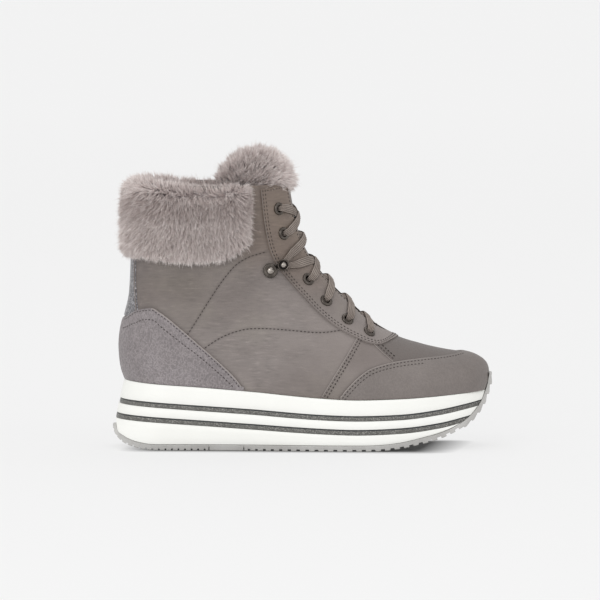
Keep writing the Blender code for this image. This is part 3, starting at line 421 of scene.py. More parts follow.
def outsole_rings():
    """Cross sections of the rubber from the heel to the top of the toe."""
    rings = []
    stations = tread_stations()
    filled = [stations[0]]
    for here, there in zip(stations, stations[1:]):
        if there[0] - here[0] > 2.4 and here[1] == there[1]:
            filled += [(here[0] + (there[0] - here[0]) * k / 3, here[1]) for k in (1, 2)]
        filled.append(there)
    for reach, depth in filled:
        foot, up = (part_way(line, ground_reach, reach) for line in (ground, into_sole))
        thick = float(np.interp(reach, ground_reach, outsole_thick))
        top, low = foot + up * thick, foot + up * depth
        edge = foot + up * max(depth, 0.5)
        out, _ = flare(top[0], top[1])
        heel_out = HEEL_X - ground[0, 0] + 0.9
        wide_x = foot[0] if foot[0] < 60 else top[0]
        ring = []
        for side, way in SIDES.items():
            half = max(float(sole_half(side, wide_x, out, heel_out)), TIP_HALF)
            middle = float(swing(top[0]))
            corner = [
                (low[0], middle + way * (half - 1.6), low[1]),
                (edge[0], middle + way * (half - 0.6), edge[1]),
                (top[0] - up[0] * 0.3, middle + way * half, top[1] - up[1] * 0.3),
                (top[0], middle + way * (half - 0.4), top[1]),
            ]
            ring += corner if way < 0 else corner[::-1]
        rings.append(ring)
    return np.array(rings)


# Moulded rubber: nearly even colour and a fine spark-eroded grain.
rubber = new_material("moulded grey rubber", "#bebdba", 0.62)


def mottled(material, tones, blotches, relief=None, strength=0.0, height=0.0):
    """Colour that drifts between tones over soft blotches, and a relief, which is the blotches' own unless
    it has its own noise. Both are given as a noise's settings."""
    place = add_node(material, "TexCoord").outputs["Object"]
    noise = add_node(material, "TexNoise", {"Vector": place, **blotches})
    colour = add_node(material, "ValToRGB", {"Fac": noise}, stops=tones)
    feed(material, Base_Color=colour)
    if strength:
        grain = add_node(material, "TexNoise", {"Vector": place, **relief}) if relief else noise
        bump = add_node(material, "Bump", {"Height": grain, "Strength": strength, "Distance": height})
        feed(material, Normal=bump)
    return colour


rubber_grain = {"Scale": 900.0, "Detail": 3.0}
rubber_tones = [(0.35, "#b4b2af"), (0.7, "#c6c5c2")]
mottled(rubber, rubber_tones, {"Scale": 45.0, "Detail": 5.0}, rubber_grain, 0.25, 0.0004)
outsole = skin("outsole_tread", outsole_rings(), rubber, smooth=22.0)
settle(outsole, "tread", "outsole")

# ================================================================ midsole
# A thick platform of white EVA foam moulded in one, with two grooves round its wall for the glitter bands.
# Its skin is smooth and satin; the top edge is softly rounded where the upper is bonded into it.
STRIPE_DEPTH = 2.2
OUTLINE_STEPS = 150
outline_x = HEEL_X + (TOE_X - HEEL_X) * (1 - np.cos(np.linspace(0, math.pi, OUTLINE_STEPS + 1))) / 2


def outline(out, heel_out, level):
    """The lasted outline made larger, on one level: heel, lateral side, toe, and the medial side back."""
    turn = (outline_x - HEEL_X) / (TOE_X - HEEL_X)
    x = outline_x + out * turn - heel_out * (1 - turn)
    z = level(x)
    lateral = swing(x) - sole_half("lateral", x, out, heel_out)
    medial = swing(x) + sole_half("medial", x, out, heel_out)
    lateral[[0, -1]] = medial[[0, -1]] = swing(x[[0, -1]])
    return np.concatenate([np.column_stack([x, lateral, z]), np.column_stack([x, medial, z])[-2:0:-1]])


def wall_ring(level, inset=0.0):
    """The outline on a level of the sole's wall, or inside it by inset."""
    out, heel_out = flare(outline_x, level(outline_x))
    return outline(out - inset, heel_out - inset, level)


def level_line(name, lift=0.0):
    """A level of the sole, raised by lift, as a height over x."""
    return lambda x: sole_z(x, name) + lift


def tread_top(lift):
    """Height of the outsole's upper face, which the foam stands on."""
    upper_face = ground + into_sole * outsole_thick[:, None]
    order = np.argsort(upper_face[:, 0])
    return lambda x: np.interp(x, upper_face[order, 0], upper_face[order, 1]) + lift


def between(low, high, share):
    """A height over x part of the way from one level to another."""
    return lambda x: low(x) * (1 - share) + high(x) * share


def ladder(first, around):
    """Faces that close an outline ring with rungs from side to side, so that a curved level stays smooth."""
    half = around // 2
    faces = [(first, first + 1, first + around - 1)]
    for k in range(1, half - 1):
        faces.append((first + k, first + k + 1, first + around - k - 1, first + around - k))
    return faces + [(first + half - 1, first + half, first + half + 1)]


def board(name, rings, material, smooth):
    """A closed piece over outline rings, its lowest and highest ring filled with rungs."""
    count, around = rings.shape[:2]
    faces = grid_faces(count, around, wrap_columns=True)
    faces += ladder(0, around) + ladder((count - 1) * around, around)
    return new_piece(name, rings.reshape(-1, 3), faces, material, smooth=smooth)


def wall_rings(levels, gap=0.25):
    """Rings of the sole's wall at (level, inset) pairs. Points that would lie outside the outsole's upper
    face, as at the toe's wrap, are drawn back onto it."""
    rings = np.array([wall_ring(level, inset) for level, inset in levels])
    face = ground + into_sole * (outsole_thick + gap)[:, None]
    for ring in rings:
        spans = ring[:, None, [0, 2]] - face[None]
        nearest = np.argmin((spans**2).sum(-1), axis=1)
        depth = (spans[np.arange(len(ring)), nearest] * into_sole[nearest]).sum(-1)
        outside = depth < 0
        ring[outside, 0] -= depth[outside] * into_sole[nearest[outside], 0]
        ring[outside, 2] -= depth[outside] * into_sole[nearest[outside], 1]
    return rings


foot = tread_top(0.3)
levels = [(foot, 2.4), (foot, 0.5), (between(foot, level_line("lower_low"), 0.15), 0.0)]
levels += [(between(foot, level_line("lower_low"), share), 0.0) for share in (0.4, 0.7)]
for low, high in (("lower_low", "lower_high"), ("upper_low", "upper_high")):
    levels += [(level_line(low, -0.35), 0.0), (level_line(low), 0.25), (level_line(low), STRIPE_DEPTH)]
    levels += [(level_line(high), STRIPE_DEPTH), (level_line(high), 0.25), (level_line(high, 0.35), 0.0)]
    if low == "lower_low":
        levels.append((between(level_line("lower_high"), level_line("upper_low"), 0.5), 0.0))
levels += [(between(level_line("upper_high"), level_line("top"), share), 0.0) for share in (0.4, 0.75)]
levels += [(level_line("top", -0.9), 0.05), (level_line("top", -0.35), 0.35), (level_line("top", -0.3), 1.2)]
levels.append((level_line("top", -0.3), 6.0))

# EVA skin: an even white with the faintest mottle, and a fine moulded texture that softens its gloss.
foam = new_material("white EVA foam", "#f7f7f2", 0.5)
foam_tones = [(0.0, "#f3f3ee"), (1.0, "#fbfbf7")]
mottled(foam, foam_tones, {"Scale": 30.0, "Detail": 3.0}, {"Scale": 700.0, "Detail": 4.0}, 0.12, 0.0003)
settle(board("midsole_foam", wall_rings(levels), foam, smooth=50.0), "foam", "midsole")

# ================================================================ glitter bands
# Two bands of dark grey glitter film on rubber, each pressed into its groove and a little below the
# foam's face. The film is metal flake in clear varnish, so it sparkles in points and its colour breaks
# from flake to flake.
STRIPE_RECESS = 0.5
STRIPE_GAP = 0.15

glitter = new_material("dark glitter film", "#5f625f", 0.38, Metallic=0.35)


def flaked(material, per_metre, tones, strength):
    """Metal flakes in varnish, each with its own tone and a little apart in height."""
    place = add_node(material, "TexCoord").outputs["Object"]
    flakes = add_node(material, "TexVoronoi", {"Vector": place, "Scale": per_metre})
    colour = add_node(material, "ValToRGB", {"Fac": flakes.outputs["Color"]}, stops=tones)
    bump = add_node(material, "Bump", {"Height": flakes, "Strength": strength, "Distance": 0.0005})
    feed(material, Base_Color=colour, Normal=bump)
    return colour


def tinted(material, colour, painted, toward, most=1.0, blend_type="MIX"):
    """A colour drawn towards another by the share painted on the piece's points."""
    share = add_node(material, "Attribute", attribute_name=painted).outputs["Fac"]
    if most < 1:
        share = add_node(material, "Math", {0: share, 1: most}, operation="MULTIPLY")
    settings = {"data_type": "RGBA", "blend_type": blend_type}
    return add_node(material, "Mix", {0: share, 6: colour, 7: toward}, **settings)


# Flakes of about 0.45 mm, with painted shade on each band's top, where the groove's lip would shade it.
film = flaked(glitter, 2200.0, [(0.0, "#4e4e4b"), (0.6, "#6e6d69"), (0.95, "#b0aeaa")], 0.6)
feed(glitter, Base_Color=tinted(glitter, film, "edge", "#3a3c3d"))

for name, low, high in (("lower", "lower_low", "lower_high"), ("upper", "upper_low", "upper_high")):
    bottom, top = level_line(low, STRIPE_GAP), level_line(high, -STRIPE_GAP)
    section = [(0.0, 1.4), (0.0, 0.25), (0.08, 0.0), (0.5, -0.1), (0.74, -0.05), (0.8, 0.0), (0.94, 0.0)]
    section = [(between(bottom, top, share), STRIPE_RECESS + inset) for share, inset in section]
    section += [(top, STRIPE_RECESS + 0.25), (top, 1.9)]
    rings = wall_rings(section, gap=0.4)
    band = skin(f"glitter_band_{name}", rings, glitter, smooth=40.0, joined=True)
    # Painted shade: the band's top rings take the dark colour.
    paint(band, "edge", np.repeat([0, 0, 0, 0, 0, 1, 1, 1, 0], rings.shape[1]))
    settle(band, "glitter", f"stripe_{name}")

# ================================================================ insole
# A fleece sock glued on a board and seen only through the collar. Its short grey-brown pile is pressed
# flat by the foot.
INSOLE_INSET = 3.8
fleece = new_material("short pile fleece", "#a89c96", 0.95, Sheen_Weight=0.5)
pile = {"Scale": 420.0, "Detail": 5.0, "Roughness": 0.7}
mottled(fleece, [(0.35, "#8f847f"), (0.65, "#bdb1ab")], pile, strength=0.7, height=0.0012)

rings = []
for inset, lift in ((0.0, 0.1), (0.0, 2.6), (0.5, 3.6), (1.6, 4.0), (9.0, 4.0)):
    rings.append(outline(-INSOLE_INSET - inset, -INSOLE_INSET - inset, level_line("top", lift)))
settle(board("insole_sock", np.array(rings), fleece, smooth=60.0), "fleece", "insole")

# ================================================================ upper
# Taupe nappa-like leather over a thin padding and a fleece lining, lasted down to the sole: one hollow
# wall, cut from quarters, a side panel and a darker vamp that lap over each other and are topstitched.
WALL = 2.8
COLLAR_Z, COLLAR_BACK_X = 185.0, 18.0
SLOT_BASE_X = 196.0  # the lacing slot's foot, on the vamp's ridge
SHAFT = table(
    "z half back_round front_round",
    (45, 33.0, 33.0, 40.0), (62, 35.0, 33.0, 40.0), (85, 34.0, 33.0, 39.0), (105, 32.5, 33.0, 38.0),
    (130, 33.5, 35.0, 39.0), (160, 36.0, 37.0, 41.0), (186, 37.5, 38.0, 42.0), (212, 38.5, 39.0, 43.0),
)
HEEL_LINE = table(
    "x z",
    (HEEL_X, 48.5), (9.2, 56.5), (8.0, 65.0), (7.7, 74.0), (8.8, 84.0), (11.6, 95.0), (14.2, 106.0),
    (15.2, 118.0), (15.8, 133.0), (16.4, 150.0), (17.2, 168.0), (COLLAR_BACK_X, COLLAR_Z),
    (19.5, COLLAR_Z + 27.0),
)
INSTEP_LINE = table(
    "x z",
    (TOE_X, 40.7), (264.3, 45.5), (265.4, 50.5), (265.7, 54.5), (264.8, 58.2), (262.0, 61.5),
    (256.5, 64.6), (249.0, 66.6), (236.0, 68.7), (221.0, 72.1), (206.0, 76.7), (196.0, 80.9),
    (187.8, 86.0), (179.6, 92.6), (169.8, 102.2), (158.3, 114.0), (147.7, 127.0), (139.9, 139.2),
    (135.2, 150.5), (132.2, 162.0), (130.0, 174.0), (127.8, 186.6), (124.0, 212.0),
)
EYELETS = table(
    "x z",
    (182.6, 82.1), (167.3, 91.2), (152.5, 104.3), (139.7, 119.3), (122.3, 151.8), (118.9, 169.2),
)
HOOK_RIVET, HOOK_HEAD = (113.4, 126.2), (122.6, 130.8)
EYELET_HOLE = 2.3
PUNCH_LENGTH = 10.0  # through the wall, with room on both sides


def along(line, share):
    """The point at a share of a polyline's length."""
    reach = length_along(line)
    return part_way(line, reach, np.asarray(share, float) * reach[-1])


def off_line(line, points):
    """Steps to points from the nearest place on each span of a polyline."""
    a, ab = line[:-1], np.diff(line, axis=0)
    points = points[..., None, :]
    t = np.clip(((points - a) * ab).sum(-1) / (ab * ab).sum(-1), 0, 1)[..., None]
    return points - (a + t * ab)


def distance(line, x, z):
    """Distance of points to a polyline in the side view."""
    points = np.stack(np.broadcast_arrays(x, z), axis=-1)
    return np.sqrt((off_line(line, points) ** 2).sum(-1).min(-1))


def ease(t):
    """Rises smoothly from 0 to 1."""
    t = np.clip(t, 0, 1)
    return t * t * (3 - 2 * t)


heel_back = smooth_line(HEEL_LINE, 6)
ridge = smooth_line(INSTEP_LINE, 6)
ridge_top = int(np.argmax(ridge[:, 0]))


def back_at(z):
    """How far forward the upper's back lies at a height."""
    return np.interp(z, heel_back[:, 1], heel_back[:, 0])


def ridge_z(x):
    """Height of the vamp's ridge over x."""
    vamp = ridge[ridge_top:]
    return np.interp(x, vamp[::-1, 0], vamp[::-1, 1])


def half_width(side, x, z):
    """Distance of the upper's outer face from its ridge plane: the form of the last."""
    x, z = np.asarray(x, float), np.asarray(z, float)
    low = follow(PLAN, side, x)
    rise = np.clip((z - sole_z(x)) / 26.0, 0, 1)
    bulge = 1 + 0.04 * np.sin(math.pi * rise)

    shaft = follow(SHAFT, "half", z)
    rear = low * bulge + (shaft - low * bulge) * ease((z - 58) / 62)
    rear = rear * rounded(distance(heel_back, x, z) / follow(SHAFT, "back_round", z))
    rear = rear * rounded(distance(ridge, x, z) / follow(SHAFT, "front_round", z))

    # In front of the ankle each section is an arch from the sole to the ridge; the inner side is fuller.
    full = {"lateral": 2.15, "medial": 2.5}[side]
    height = np.maximum(ridge_z(x) - sole_z(x), 1.0)
    arch = (1 - np.clip((z - sole_z(x)) / height, 0, 1) ** full) ** 0.5
    toe = rounded((ridge[ridge_top, 0] - x) / TOE_ROUND, TIP_POWER)
    fore = low * bulge * arch * toe
    return rear + (fore - rear) * ease((x - 128) / 50)


def form_point(side, x, z):
    """The point of the upper's outer face at x and z, on one side."""
    y = swing(x) + SIDES[side] * half_width(side, x, z)
    return np.stack(np.broadcast_arrays(x, y, z), axis=-1)


def form_normal(side, x, z, h=0.4):
    """Outward normal of the outer face at a point away from its ridge."""
    dx = form_point(side, x + h, z) - form_point(side, x - h, z)
    dz = form_point(side, x, z + h) - form_point(side, x, z - h)
    return unit(np.cross(dx, dz) * -SIDES[side])


slot_base = ridge_top + int(np.argmin(np.abs(ridge[ridge_top:, 0] - SLOT_BASE_X)))
ridge_reach = length_along(ridge) - length_along(ridge)[slot_base]
slot_length = float(np.interp(COLLAR_Z + 1.0, ridge[slot_base:, 1], ridge_reach[slot_base:]))


def ridge_at(s):
    """(place, inward direction) on the ridge at s millimetres up from the slot's base."""
    place, low, high = (part_way(ridge, ridge_reach, s + step) for step in (0, -1.5, 1.5))
    ahead = unit(high - low)
    return place, np.stack([-ahead[..., 1], ahead[..., 0]], axis=-1)


def crown_place(s, y):
    """Side view place of the closed form's surface at s up the ridge and y across from it."""
    s, y = np.broadcast_arrays(np.asarray(s, float), np.asarray(y, float))
    place, inward = ridge_at(s)
    low, high = np.zeros(s.shape), np.full(s.shape, 40.0)
    half = np.zeros(s.shape)
    for _ in range(16):  # halvings of the depth, which is at most 40 mm
        mid = (low + high) / 2
        spot = place + inward * mid[..., None]
        for side, here in (("lateral", y < 0), ("medial", y >= 0)):
            half[here] = half_width(side, spot[here, 0], spot[here, 1])
        wide = half >= np.abs(y)
        high, low = np.where(wide, mid, high), np.where(wide, low, mid)
    return place + inward * high[..., None]


def crown_point(s, y):
    """Point of the closed form at s along the ridge and y across."""
    place = crown_place(s, y)
    return np.stack([place[..., 0], swing(place[..., 0]) + y, place[..., 1]], axis=-1)


def crown_frame(s, y):
    """(point, outward normal) of the closed form at s along the ridge and y across."""
    s, y = np.broadcast_arrays(np.asarray(s, float), np.asarray(y, float))
    across = crown_point(s, y + 1.5) - crown_point(s, y - 1.5)
    normal = unit(np.cross(crown_point(s + 2, y) - crown_point(s - 2, y), across))
    return crown_point(s, y), np.where(normal[..., :1] < 0, -normal, normal)


def crown(s, y, lift=0.0):
    """Point of the closed form over the slot, raised outwards by lift."""
    point, normal = crown_frame(s, y)
    return point + normal * np.asarray(lift, float)[..., None]


def crown_reach(x, z):
    """How far up the ridge from the slot's base a side view place lies."""
    gaps = np.hypot(ridge[slot_base:, 0] - x, ridge[slot_base:, 1] - z)
    return float(ridge_reach[slot_base + int(np.argmin(gaps))])


CORNER_U = 0.46  # the net's column at the collar's front corner
CORNER_ROUND = 4.5
SLOT_HALF = table(
    "share half",
    (0, 0.0), (0.03, 4.6), (0.08, 7.4), (0.2, 9.4), (0.6, 11.0), (0.9, 13.0), (1, 14.0),
)


def slot_half(share):
    """Half width of the lacing slot, whose top corners are rounded off."""
    to_top = (1 - np.asarray(share, float)) * slot_length
    inside = np.clip(CORNER_ROUND - to_top, 0, CORNER_ROUND)
    corner = CORNER_ROUND - np.sqrt(CORNER_ROUND**2 - inside**2)
    return follow(SLOT_HALF, "half", share) + corner


def slot_edge(side, share):
    """A place on the lacing slot's edge, by its share of the way from the slot's base to the collar."""
    return crown_place(np.asarray(share) * slot_length, SIDES[side] * slot_half(share))


def round_collar(share):
    """Spreads stations round the collar: close together at its back and at its front corner."""
    return 0.4 * (1 - np.cos(math.pi / 2 * share)) + 0.3 * (1 - np.cos(math.pi * share))


def net(side, u, v):
    """Side view places (x, z) of the net's crossings: columns u, and rows v that may differ by column."""
    u = np.asarray(u, float)[:, None]
    v = np.atleast_2d(np.asarray(v, float))

    def foot(u):
        x = HEEL_X + (TOE_X - HEEL_X) * (1 - np.cos(math.pi * u)) / 2
        return np.stack([x, sole_z(x)], axis=-1)

    slot_top = slot_edge(side, np.array([1.0]))[0]
    back_top = np.array([COLLAR_BACK_X, COLLAR_Z])

    def top(u):
        on_collar = round_collar(np.clip(u / CORNER_U, 0, 1))[..., None]
        on_slot = np.sin(math.pi / 2 * np.clip((u - CORNER_U) / (1 - CORNER_U), 0, 1))
        collar = back_top + (slot_top - back_top) * on_collar
        return np.where((u < CORNER_U)[..., None], collar, slot_edge(side, 1 - on_slot))

    back_line = heel_back[: int(np.argmin(np.abs(heel_back[:, 1] - COLLAR_Z))) + 1]
    back_bow = along(back_line, v) - ((1 - v[..., None]) * back_line[0] + v[..., None] * back_top)
    toe_line = ridge[: slot_base + 1]
    toe_bow = along(toe_line, v) - ((1 - v[..., None]) * toe_line[0] + v[..., None] * toe_line[-1])
    u3, v3 = u[..., None], v[..., None]
    return (1 - v3) * foot(u) + v3 * top(u) + (1 - u3) ** 2 * back_bow + u3**4 * toe_bow


def net_surface(side, u, v):
    """Points of the outer face at the net's crossings. Its first and last columns lie on the ridge plane."""
    place = net(side, u, v)
    points = form_point(side, place[..., 0], place[..., 1])
    for column in np.flatnonzero((np.asarray(u) <= 0) | (np.asarray(u) >= 1)):
        points[column, :, 1] = swing(points[column, :, 0])
    return points


def grid_normals(points, wrap=False):
    """Normals of a grid of points, by its rows and columns."""
    across = np.gradient(points, axis=0)
    if wrap:
        across = np.roll(points, -1, axis=0) - np.roll(points, 1, axis=0)
    return unit(np.cross(across, np.gradient(points, axis=1)))


# Seams of the upper as side view lines. A lapped seam's raised piece is on the left of its line.
SEAMS = {
    "rear_quarter": table(
        "x z",
        (55, 80.5), (63, 93), (70.7, 105.2), (79.8, 118.8), (88.9, 129.6), (97.3, 135.2), (111, 139.6),
    ),
    "low_quarter": table(
        "x z",
        (65, 70), (77.7, 78.6), (87.5, 82.8), (97.3, 85.3), (110.6, 85.7), (125.3, 84.9), (149.1, 83.2),
        (163, 84.5),
    ),
    "side_lap": table("x z", (174.6, 79.5), (166.4, 65.8), (157.8, 52), (149.4, 38)),
    "vamp_lap": table("x z", (185.6, 74.8), (189.4, 71.2), (194.2, 66.8), (199.6, 62.4)),
}
LAP_RISE = 0.45
GROOVE = {"depth": 0.24, "half": 0.7}
# Soft creases: middle, length, direction, depth (a ridge if negative) and width.
CREASES = table(
    "x z length angle depth width",
    (92, 108, 34, 38, 0.30, 3.2), (84, 98, 26, 30, -0.22, 3.0), (118, 112, 28, 52, 0.26, 3.0),
    (127, 104, 22, 58, -0.20, 2.8), (60, 118, 26, 8, 0.22, 2.6), (52, 108, 22, 14, -0.18, 2.6),
    (132, 66, 30, 72, 0.26, 3.6), (141, 60, 26, 76, -0.22, 3.4), (112, 62, 24, 60, 0.20, 3.8),
    (168, 58, 16, 70, 0.16, 3.0), (104, 74, 30, 12, -0.16, 3.2), (206, 72, 12, 65, 0.14, 2.6),
    (216, 70, 12, 62, -0.12, 2.6), (104, 152, 18, 82, 0.18, 2.4),
)


def across_line(line, x, z, reach=6.0):
    """Signed distance to a side view line, positive on its left, only worked out within reach of it."""
    far = np.full(x.shape, 99.0)
    low, high = line.min(0) - reach, line.max(0) + reach
    close = (x > low[0]) & (x < high[0]) & (z > low[1]) & (z < high[1])
    steps = off_line(line, np.stack([x[close], z[close]], axis=-1))
    size = np.sqrt((steps**2).sum(-1))
    best = np.argmin(size, axis=1)
    rows = np.arange(len(best))
    run, rise = np.diff(line, axis=0)[best].T
    turn = run * steps[rows, best, 1] - rise * steps[rows, best, 0]
    far[close] = size[rows, best] * np.where(turn < 0, -1, 1)
    return far


def relief(x, z):
    """How far the leather stands above or below the last's form at side view places, in millimetres."""
    lift = np.zeros(x.shape)
    for name, seam in SEAMS.items():
        across = across_line(smooth_line(seam, 8), x, z)
        lift -= GROOVE["depth"] * np.exp(-((across / GROOVE["half"]) ** 2))
        if name.endswith("_lap"):
            raised = ease(across / 0.9 + 0.5) * (1 - ease(across / 5.0))
            lift += np.where(np.abs(across) < 6, LAP_RISE * raised, 0)
    for cx, cz, length, angle, depth, width in zip(*CREASES.values()):
        turn = math.radians(angle)
        run = ((x - cx) * math.cos(turn) + (z - cz) * math.sin(turn)) / (length / 2)
        side = ((z - cz) * math.cos(turn) - (x - cx) * math.sin(turn)) / width
        side = side + 0.35 * run**2
        lift -= depth * np.exp(-(side**2)) * np.exp(-(run**2) * 1.4)
    return lift


# The net's columns stand closer together round the collar's front corner.
UPPER_COLUMNS, UPPER_ROWS = 268, 132
u = np.concatenate(
    [np.linspace(0, 0.43, 100), np.linspace(0.435, 0.49, 22), np.linspace(0.495, 1, UPPER_COLUMNS + 1 - 122)]
)
v = np.linspace(0, 1, UPPER_ROWS + 1) ** 1.04
lateral, medial = net_surface("lateral", u, v), net_surface("medial", u, v)
outer = np.concatenate([lateral, medial[-2:0:-1]])
normals = grid_normals(outer, wrap=True)
hand = np.repeat([-1.0, 1.0], [len(lateral), len(medial) - 2])
outward = np.stack([np.full(len(hand), 0.55), 0.45 * hand, np.full(len(hand), 0.7)], axis=-1)
front = np.concatenate([u, u[-2:0:-1]]) > CORNER_U
turned = front[:, None] & ((normals * outward[:, None]).sum(-1) < 0)
normals[turned] *= -1  # where the net runs along the slot's base
inner_rows = np.linspace(0, UPPER_ROWS, 12).astype(int)
soft = normals.copy()
for _ in range(24):
    soft = (np.roll(soft, 1, axis=0) + soft * 2 + np.roll(soft, -1, axis=0)) / 4
    soft[:, 1:-1] = (soft[:, :-2] + soft[:, 1:-1] * 2 + soft[:, 2:]) / 4
soft = unit(soft)
thin = 1 - 0.5 * ease((v - 0.93) / 0.07)  # the padding ends short of the edge
inner = (outer - WALL * thin[None, :, None] * soft)[:, inner_rows]
inner[:, 0, 2] = sole_z(inner[:, 0, 0])
faded = np.minimum(1.0, (np.arange(UPPER_ROWS + 1) / 3.0))[None, :]  # no relief where it meets the sole
outer = outer + normals * (relief(outer[..., 0], outer[..., 2]) * faded)[..., None]
top_out, top_in = outer[:, -1], inner[:, -1]
upward = unit(outer[:, -1] - outer[:, -4])
rim = [top_out * (1 - t) + top_in * t + upward * 1.1 * math.sin(math.pi * t) for t in (0.2, 0.5, 0.8)]
loops = np.concatenate([outer, np.stack(rim, axis=1), inner[:, ::-1]], axis=1)
columns, rows = loops.shape[:2]

leather = new_material("taupe nappa leather", "#827a75", 0.52)
faces = grid_faces(columns, rows, wrap_rows=True, wrap_columns=True)
upper = new_piece("upper_quarters_and_vamp", loops.reshape(-1, 3), faces, leather, fleece, smooth=70.0)
lining_from = UPPER_ROWS + 5  # the leather is turned in over the edge
is_lining = np.tile(np.arange(rows) >= lining_from, columns).astype(np.int32)
upper.data.polygons.foreach_set("material_index", is_lining)


eyelet_spots = {
    side: [(form_point(side, x, z), form_normal(side, x, z)) for x, z in zip(EYELETS["x"], EYELETS["z"])]
    for side in SIDES
}


def punch(piece):
    """Cuts the eyelets' holes through a piece."""
    bpy.ops.object.select_all(action="DESELECT")
    pegs = []
    for at, axis in eyelet_spots["lateral"] + eyelet_spots["medial"]:
        bpy.ops.mesh.primitive_cylinder_add(
            vertices=24,
            radius=(EYELET_HOLE + 0.35) * 0.001,
            depth=PUNCH_LENGTH * 0.001,
            location=to_frame(at - axis),
            rotation=Vector(axis).to_track_quat("Z", "X").to_euler(),
        )
        pegs.append(bpy.context.object)
    for peg in pegs:
        peg.select_set(True)
    bpy.ops.object.join()
    cutter = bpy.context.object
    modifier = piece.modifiers.new("holes", "BOOLEAN")
    modifier.operation = "DIFFERENCE"
    modifier.solver = "EXACT"
    modifier.object = cutter
    pick_only(piece)
    bpy.ops.object.modifier_apply(modifier=modifier.name)
    bpy.data.objects.remove(cutter)


punch(upper)


def side_places(piece):
    """x, y and z of a piece's points in the shoe's millimetres."""
    co = np.empty(len(piece.data.vertices) * 3, np.float32)
    piece.data.vertices.foreach_get("co", co)
    return (co.reshape(-1, 3) * 1000 + FRAME_ORIGIN).T


# Where the colours differ: the vamp's darker leather, the shaft's warmer front, and painted shade in the
# seams' grooves and on the parts that the lamps reach less: the shaft but for its lit front, the leather
# behind the toe guard, and the ankle's rear.
x, y, z = side_places(upper)
GUARD_FOOT = table("x z", (162, 37.4), (176, 52.6), (194, 60.6), (220, 63.8), (243, 65.6), (258, 70.5))
guard_line = smooth_line(GUARD_FOOT)
vamp_seam = smooth_line(SEAMS["vamp_lap"])
in_front = x > np.interp(z, vamp_seam[::-1, 1], vamp_seam[::-1, 0])
in_vamp = ease((z - np.interp(x, guard_line[:, 0], guard_line[:, 1])) / 0.8 + 0.5) * in_front * (x > 184)
paint(upper, "vamp", in_vamp)
# Painted shade in the seams' grooves.
seam_shade = np.zeros(x.shape)
for seam in SEAMS.values():
    seam_shade += np.exp(-((across_line(smooth_line(seam, 8), x, z) / 1.1) ** 2))
paint(upper, "seam", np.clip(seam_shade, 0, 1))
paint(upper, "warm", 0.75 * ease((z - 118) / 34) * ease((x - 84) / 16))
# Painted shade where the lamps reach less; lit_front is the part left lighter.
side_seam = smooth_line(SEAMS["side_lap"])
side_panel = ease((x - np.interp(z, side_seam[::-1, 1], side_seam[::-1, 0])) / 1.5) * (z < 79)
lit_front = ease((x - 92) / 32) * (1 - ease((z - 116) / 20))
painted_shade = ease((z - 76) / 22) * (1 - ease((x - 176) / 10)) * (1 - 0.75 * lit_front)
behind_guard = ease((x - 108) / 34) * (1 - ease((z - 46) / 44)) * (x < 186)
painted_shade = np.maximum(painted_shade, 0.95 * np.maximum(side_panel, behind_guard) * (1 - in_vamp))
ankle_rear = ease((z - 96) / 16) * (1 - ease((z - 118) / 14)) * (1 - ease((x - 56) / 22))
paint(upper, "painted_shade", painted_shade * 0.67 + ankle_rear * 0.33)


def leather_look(material, base, dark, light, grain_mm, grain_strength, streaks=0.0, specks=0.0):
    """Grain from overlapping cells, a slow drift of colour and faint scuffs along the shoe."""
    place = add_node(material, "TexCoord").outputs["Object"]
    drift = add_node(material, "TexNoise", {"Vector": place, "Scale": 22.0, "Detail": 6.0, "Roughness": 0.6})
    colour = add_node(material, "ValToRGB", {"Fac": drift}, stops=[(0.3, dark), (0.5, base), (0.72, light)])
    per_metre = 1000.0 / grain_mm
    cells = add_node(material, "TexVoronoi", {"Vector": place, "Scale": per_metre, "Randomness": 0.9})
    fine = {"Scale": 620.0, "Detail": 5.0, "Roughness": 0.65}
    pores = add_node(material, "TexNoise", {"Vector": place, **fine})
    height = add_node(material, "Math", {0: cells, 1: pores}, operation="ADD")
    multiply = {"data_type": "RGBA", "blend_type": "MULTIPLY"}
    if specks:
        pulled = add_node(material, "Mapping", {"Vector": place, "Scale": (520.0, 520.0, 340.0)})
        wrinkles = add_node(material, "TexNoise", {"Vector": pulled, "Scale": 1.0, "Detail": 2.0})
        vein = [(0.38, 0.66), (0.46, 0.78), (0.5, 1.0), (0.54, 0.78), (0.62, 0.66)]
        veins = add_node(material, "ValToRGB", {"Fac": wrinkles}, stops=vein)
        colour = add_node(material, "Mix", {0: specks, 6: colour, 7: veins}, **multiply)
    if streaks:
        stretch = add_node(material, "Mapping", {"Vector": place, "Scale": (150.0, 150.0, 760.0)})
        scuffs = add_node(material, "TexNoise", {"Vector": stretch, "Scale": 1.0, "Detail": 5.0})
        scuff = [(0.3, 0.66), (0.46, 0.78), (0.58, 0.81), (0.72, 1.0)]
        scuff_tone = add_node(material, "ValToRGB", {"Fac": scuffs}, stops=scuff)
        patches = add_node(material, "TexNoise", {"Vector": place, "Scale": 48.0, "Detail": 2.0})
        patchy = add_node(material, "MapRange", {"Value": patches, "From Min": 0.4, "From Max": 0.62})
        share = {"Value": patchy, "To Min": 0.6 * streaks, "To Max": streaks}
        amount = add_node(material, "MapRange", share)
        ahead = add_node(material, "SeparateXYZ", {"Vector": place}).outputs["X"]
        to_toe = {"Value": ahead, "From Min": -0.01, "From Max": 0.03, "To Min": 1.0, "To Max": 0.3}
        fewer = add_node(material, "MapRange", to_toe)
        amount = add_node(material, "Math", {0: amount, 1: fewer}, operation="MULTIPLY")
        colour = add_node(material, "Mix", {0: amount, 6: colour, 7: scuff_tone}, **multiply)
        height = add_node(material, "Math", {0: height, 1: scuffs}, operation="ADD")
    bump = add_node(material, "Bump", {"Height": height, "Strength": grain_strength, "Distance": 0.0004})
    gloss = add_node(material, "MapRange", {"Value": drift, "To Min": 0.46, "To Max": 0.62})
    feed(material, Base_Color=colour, Roughness=gloss, Normal=bump)
    return colour
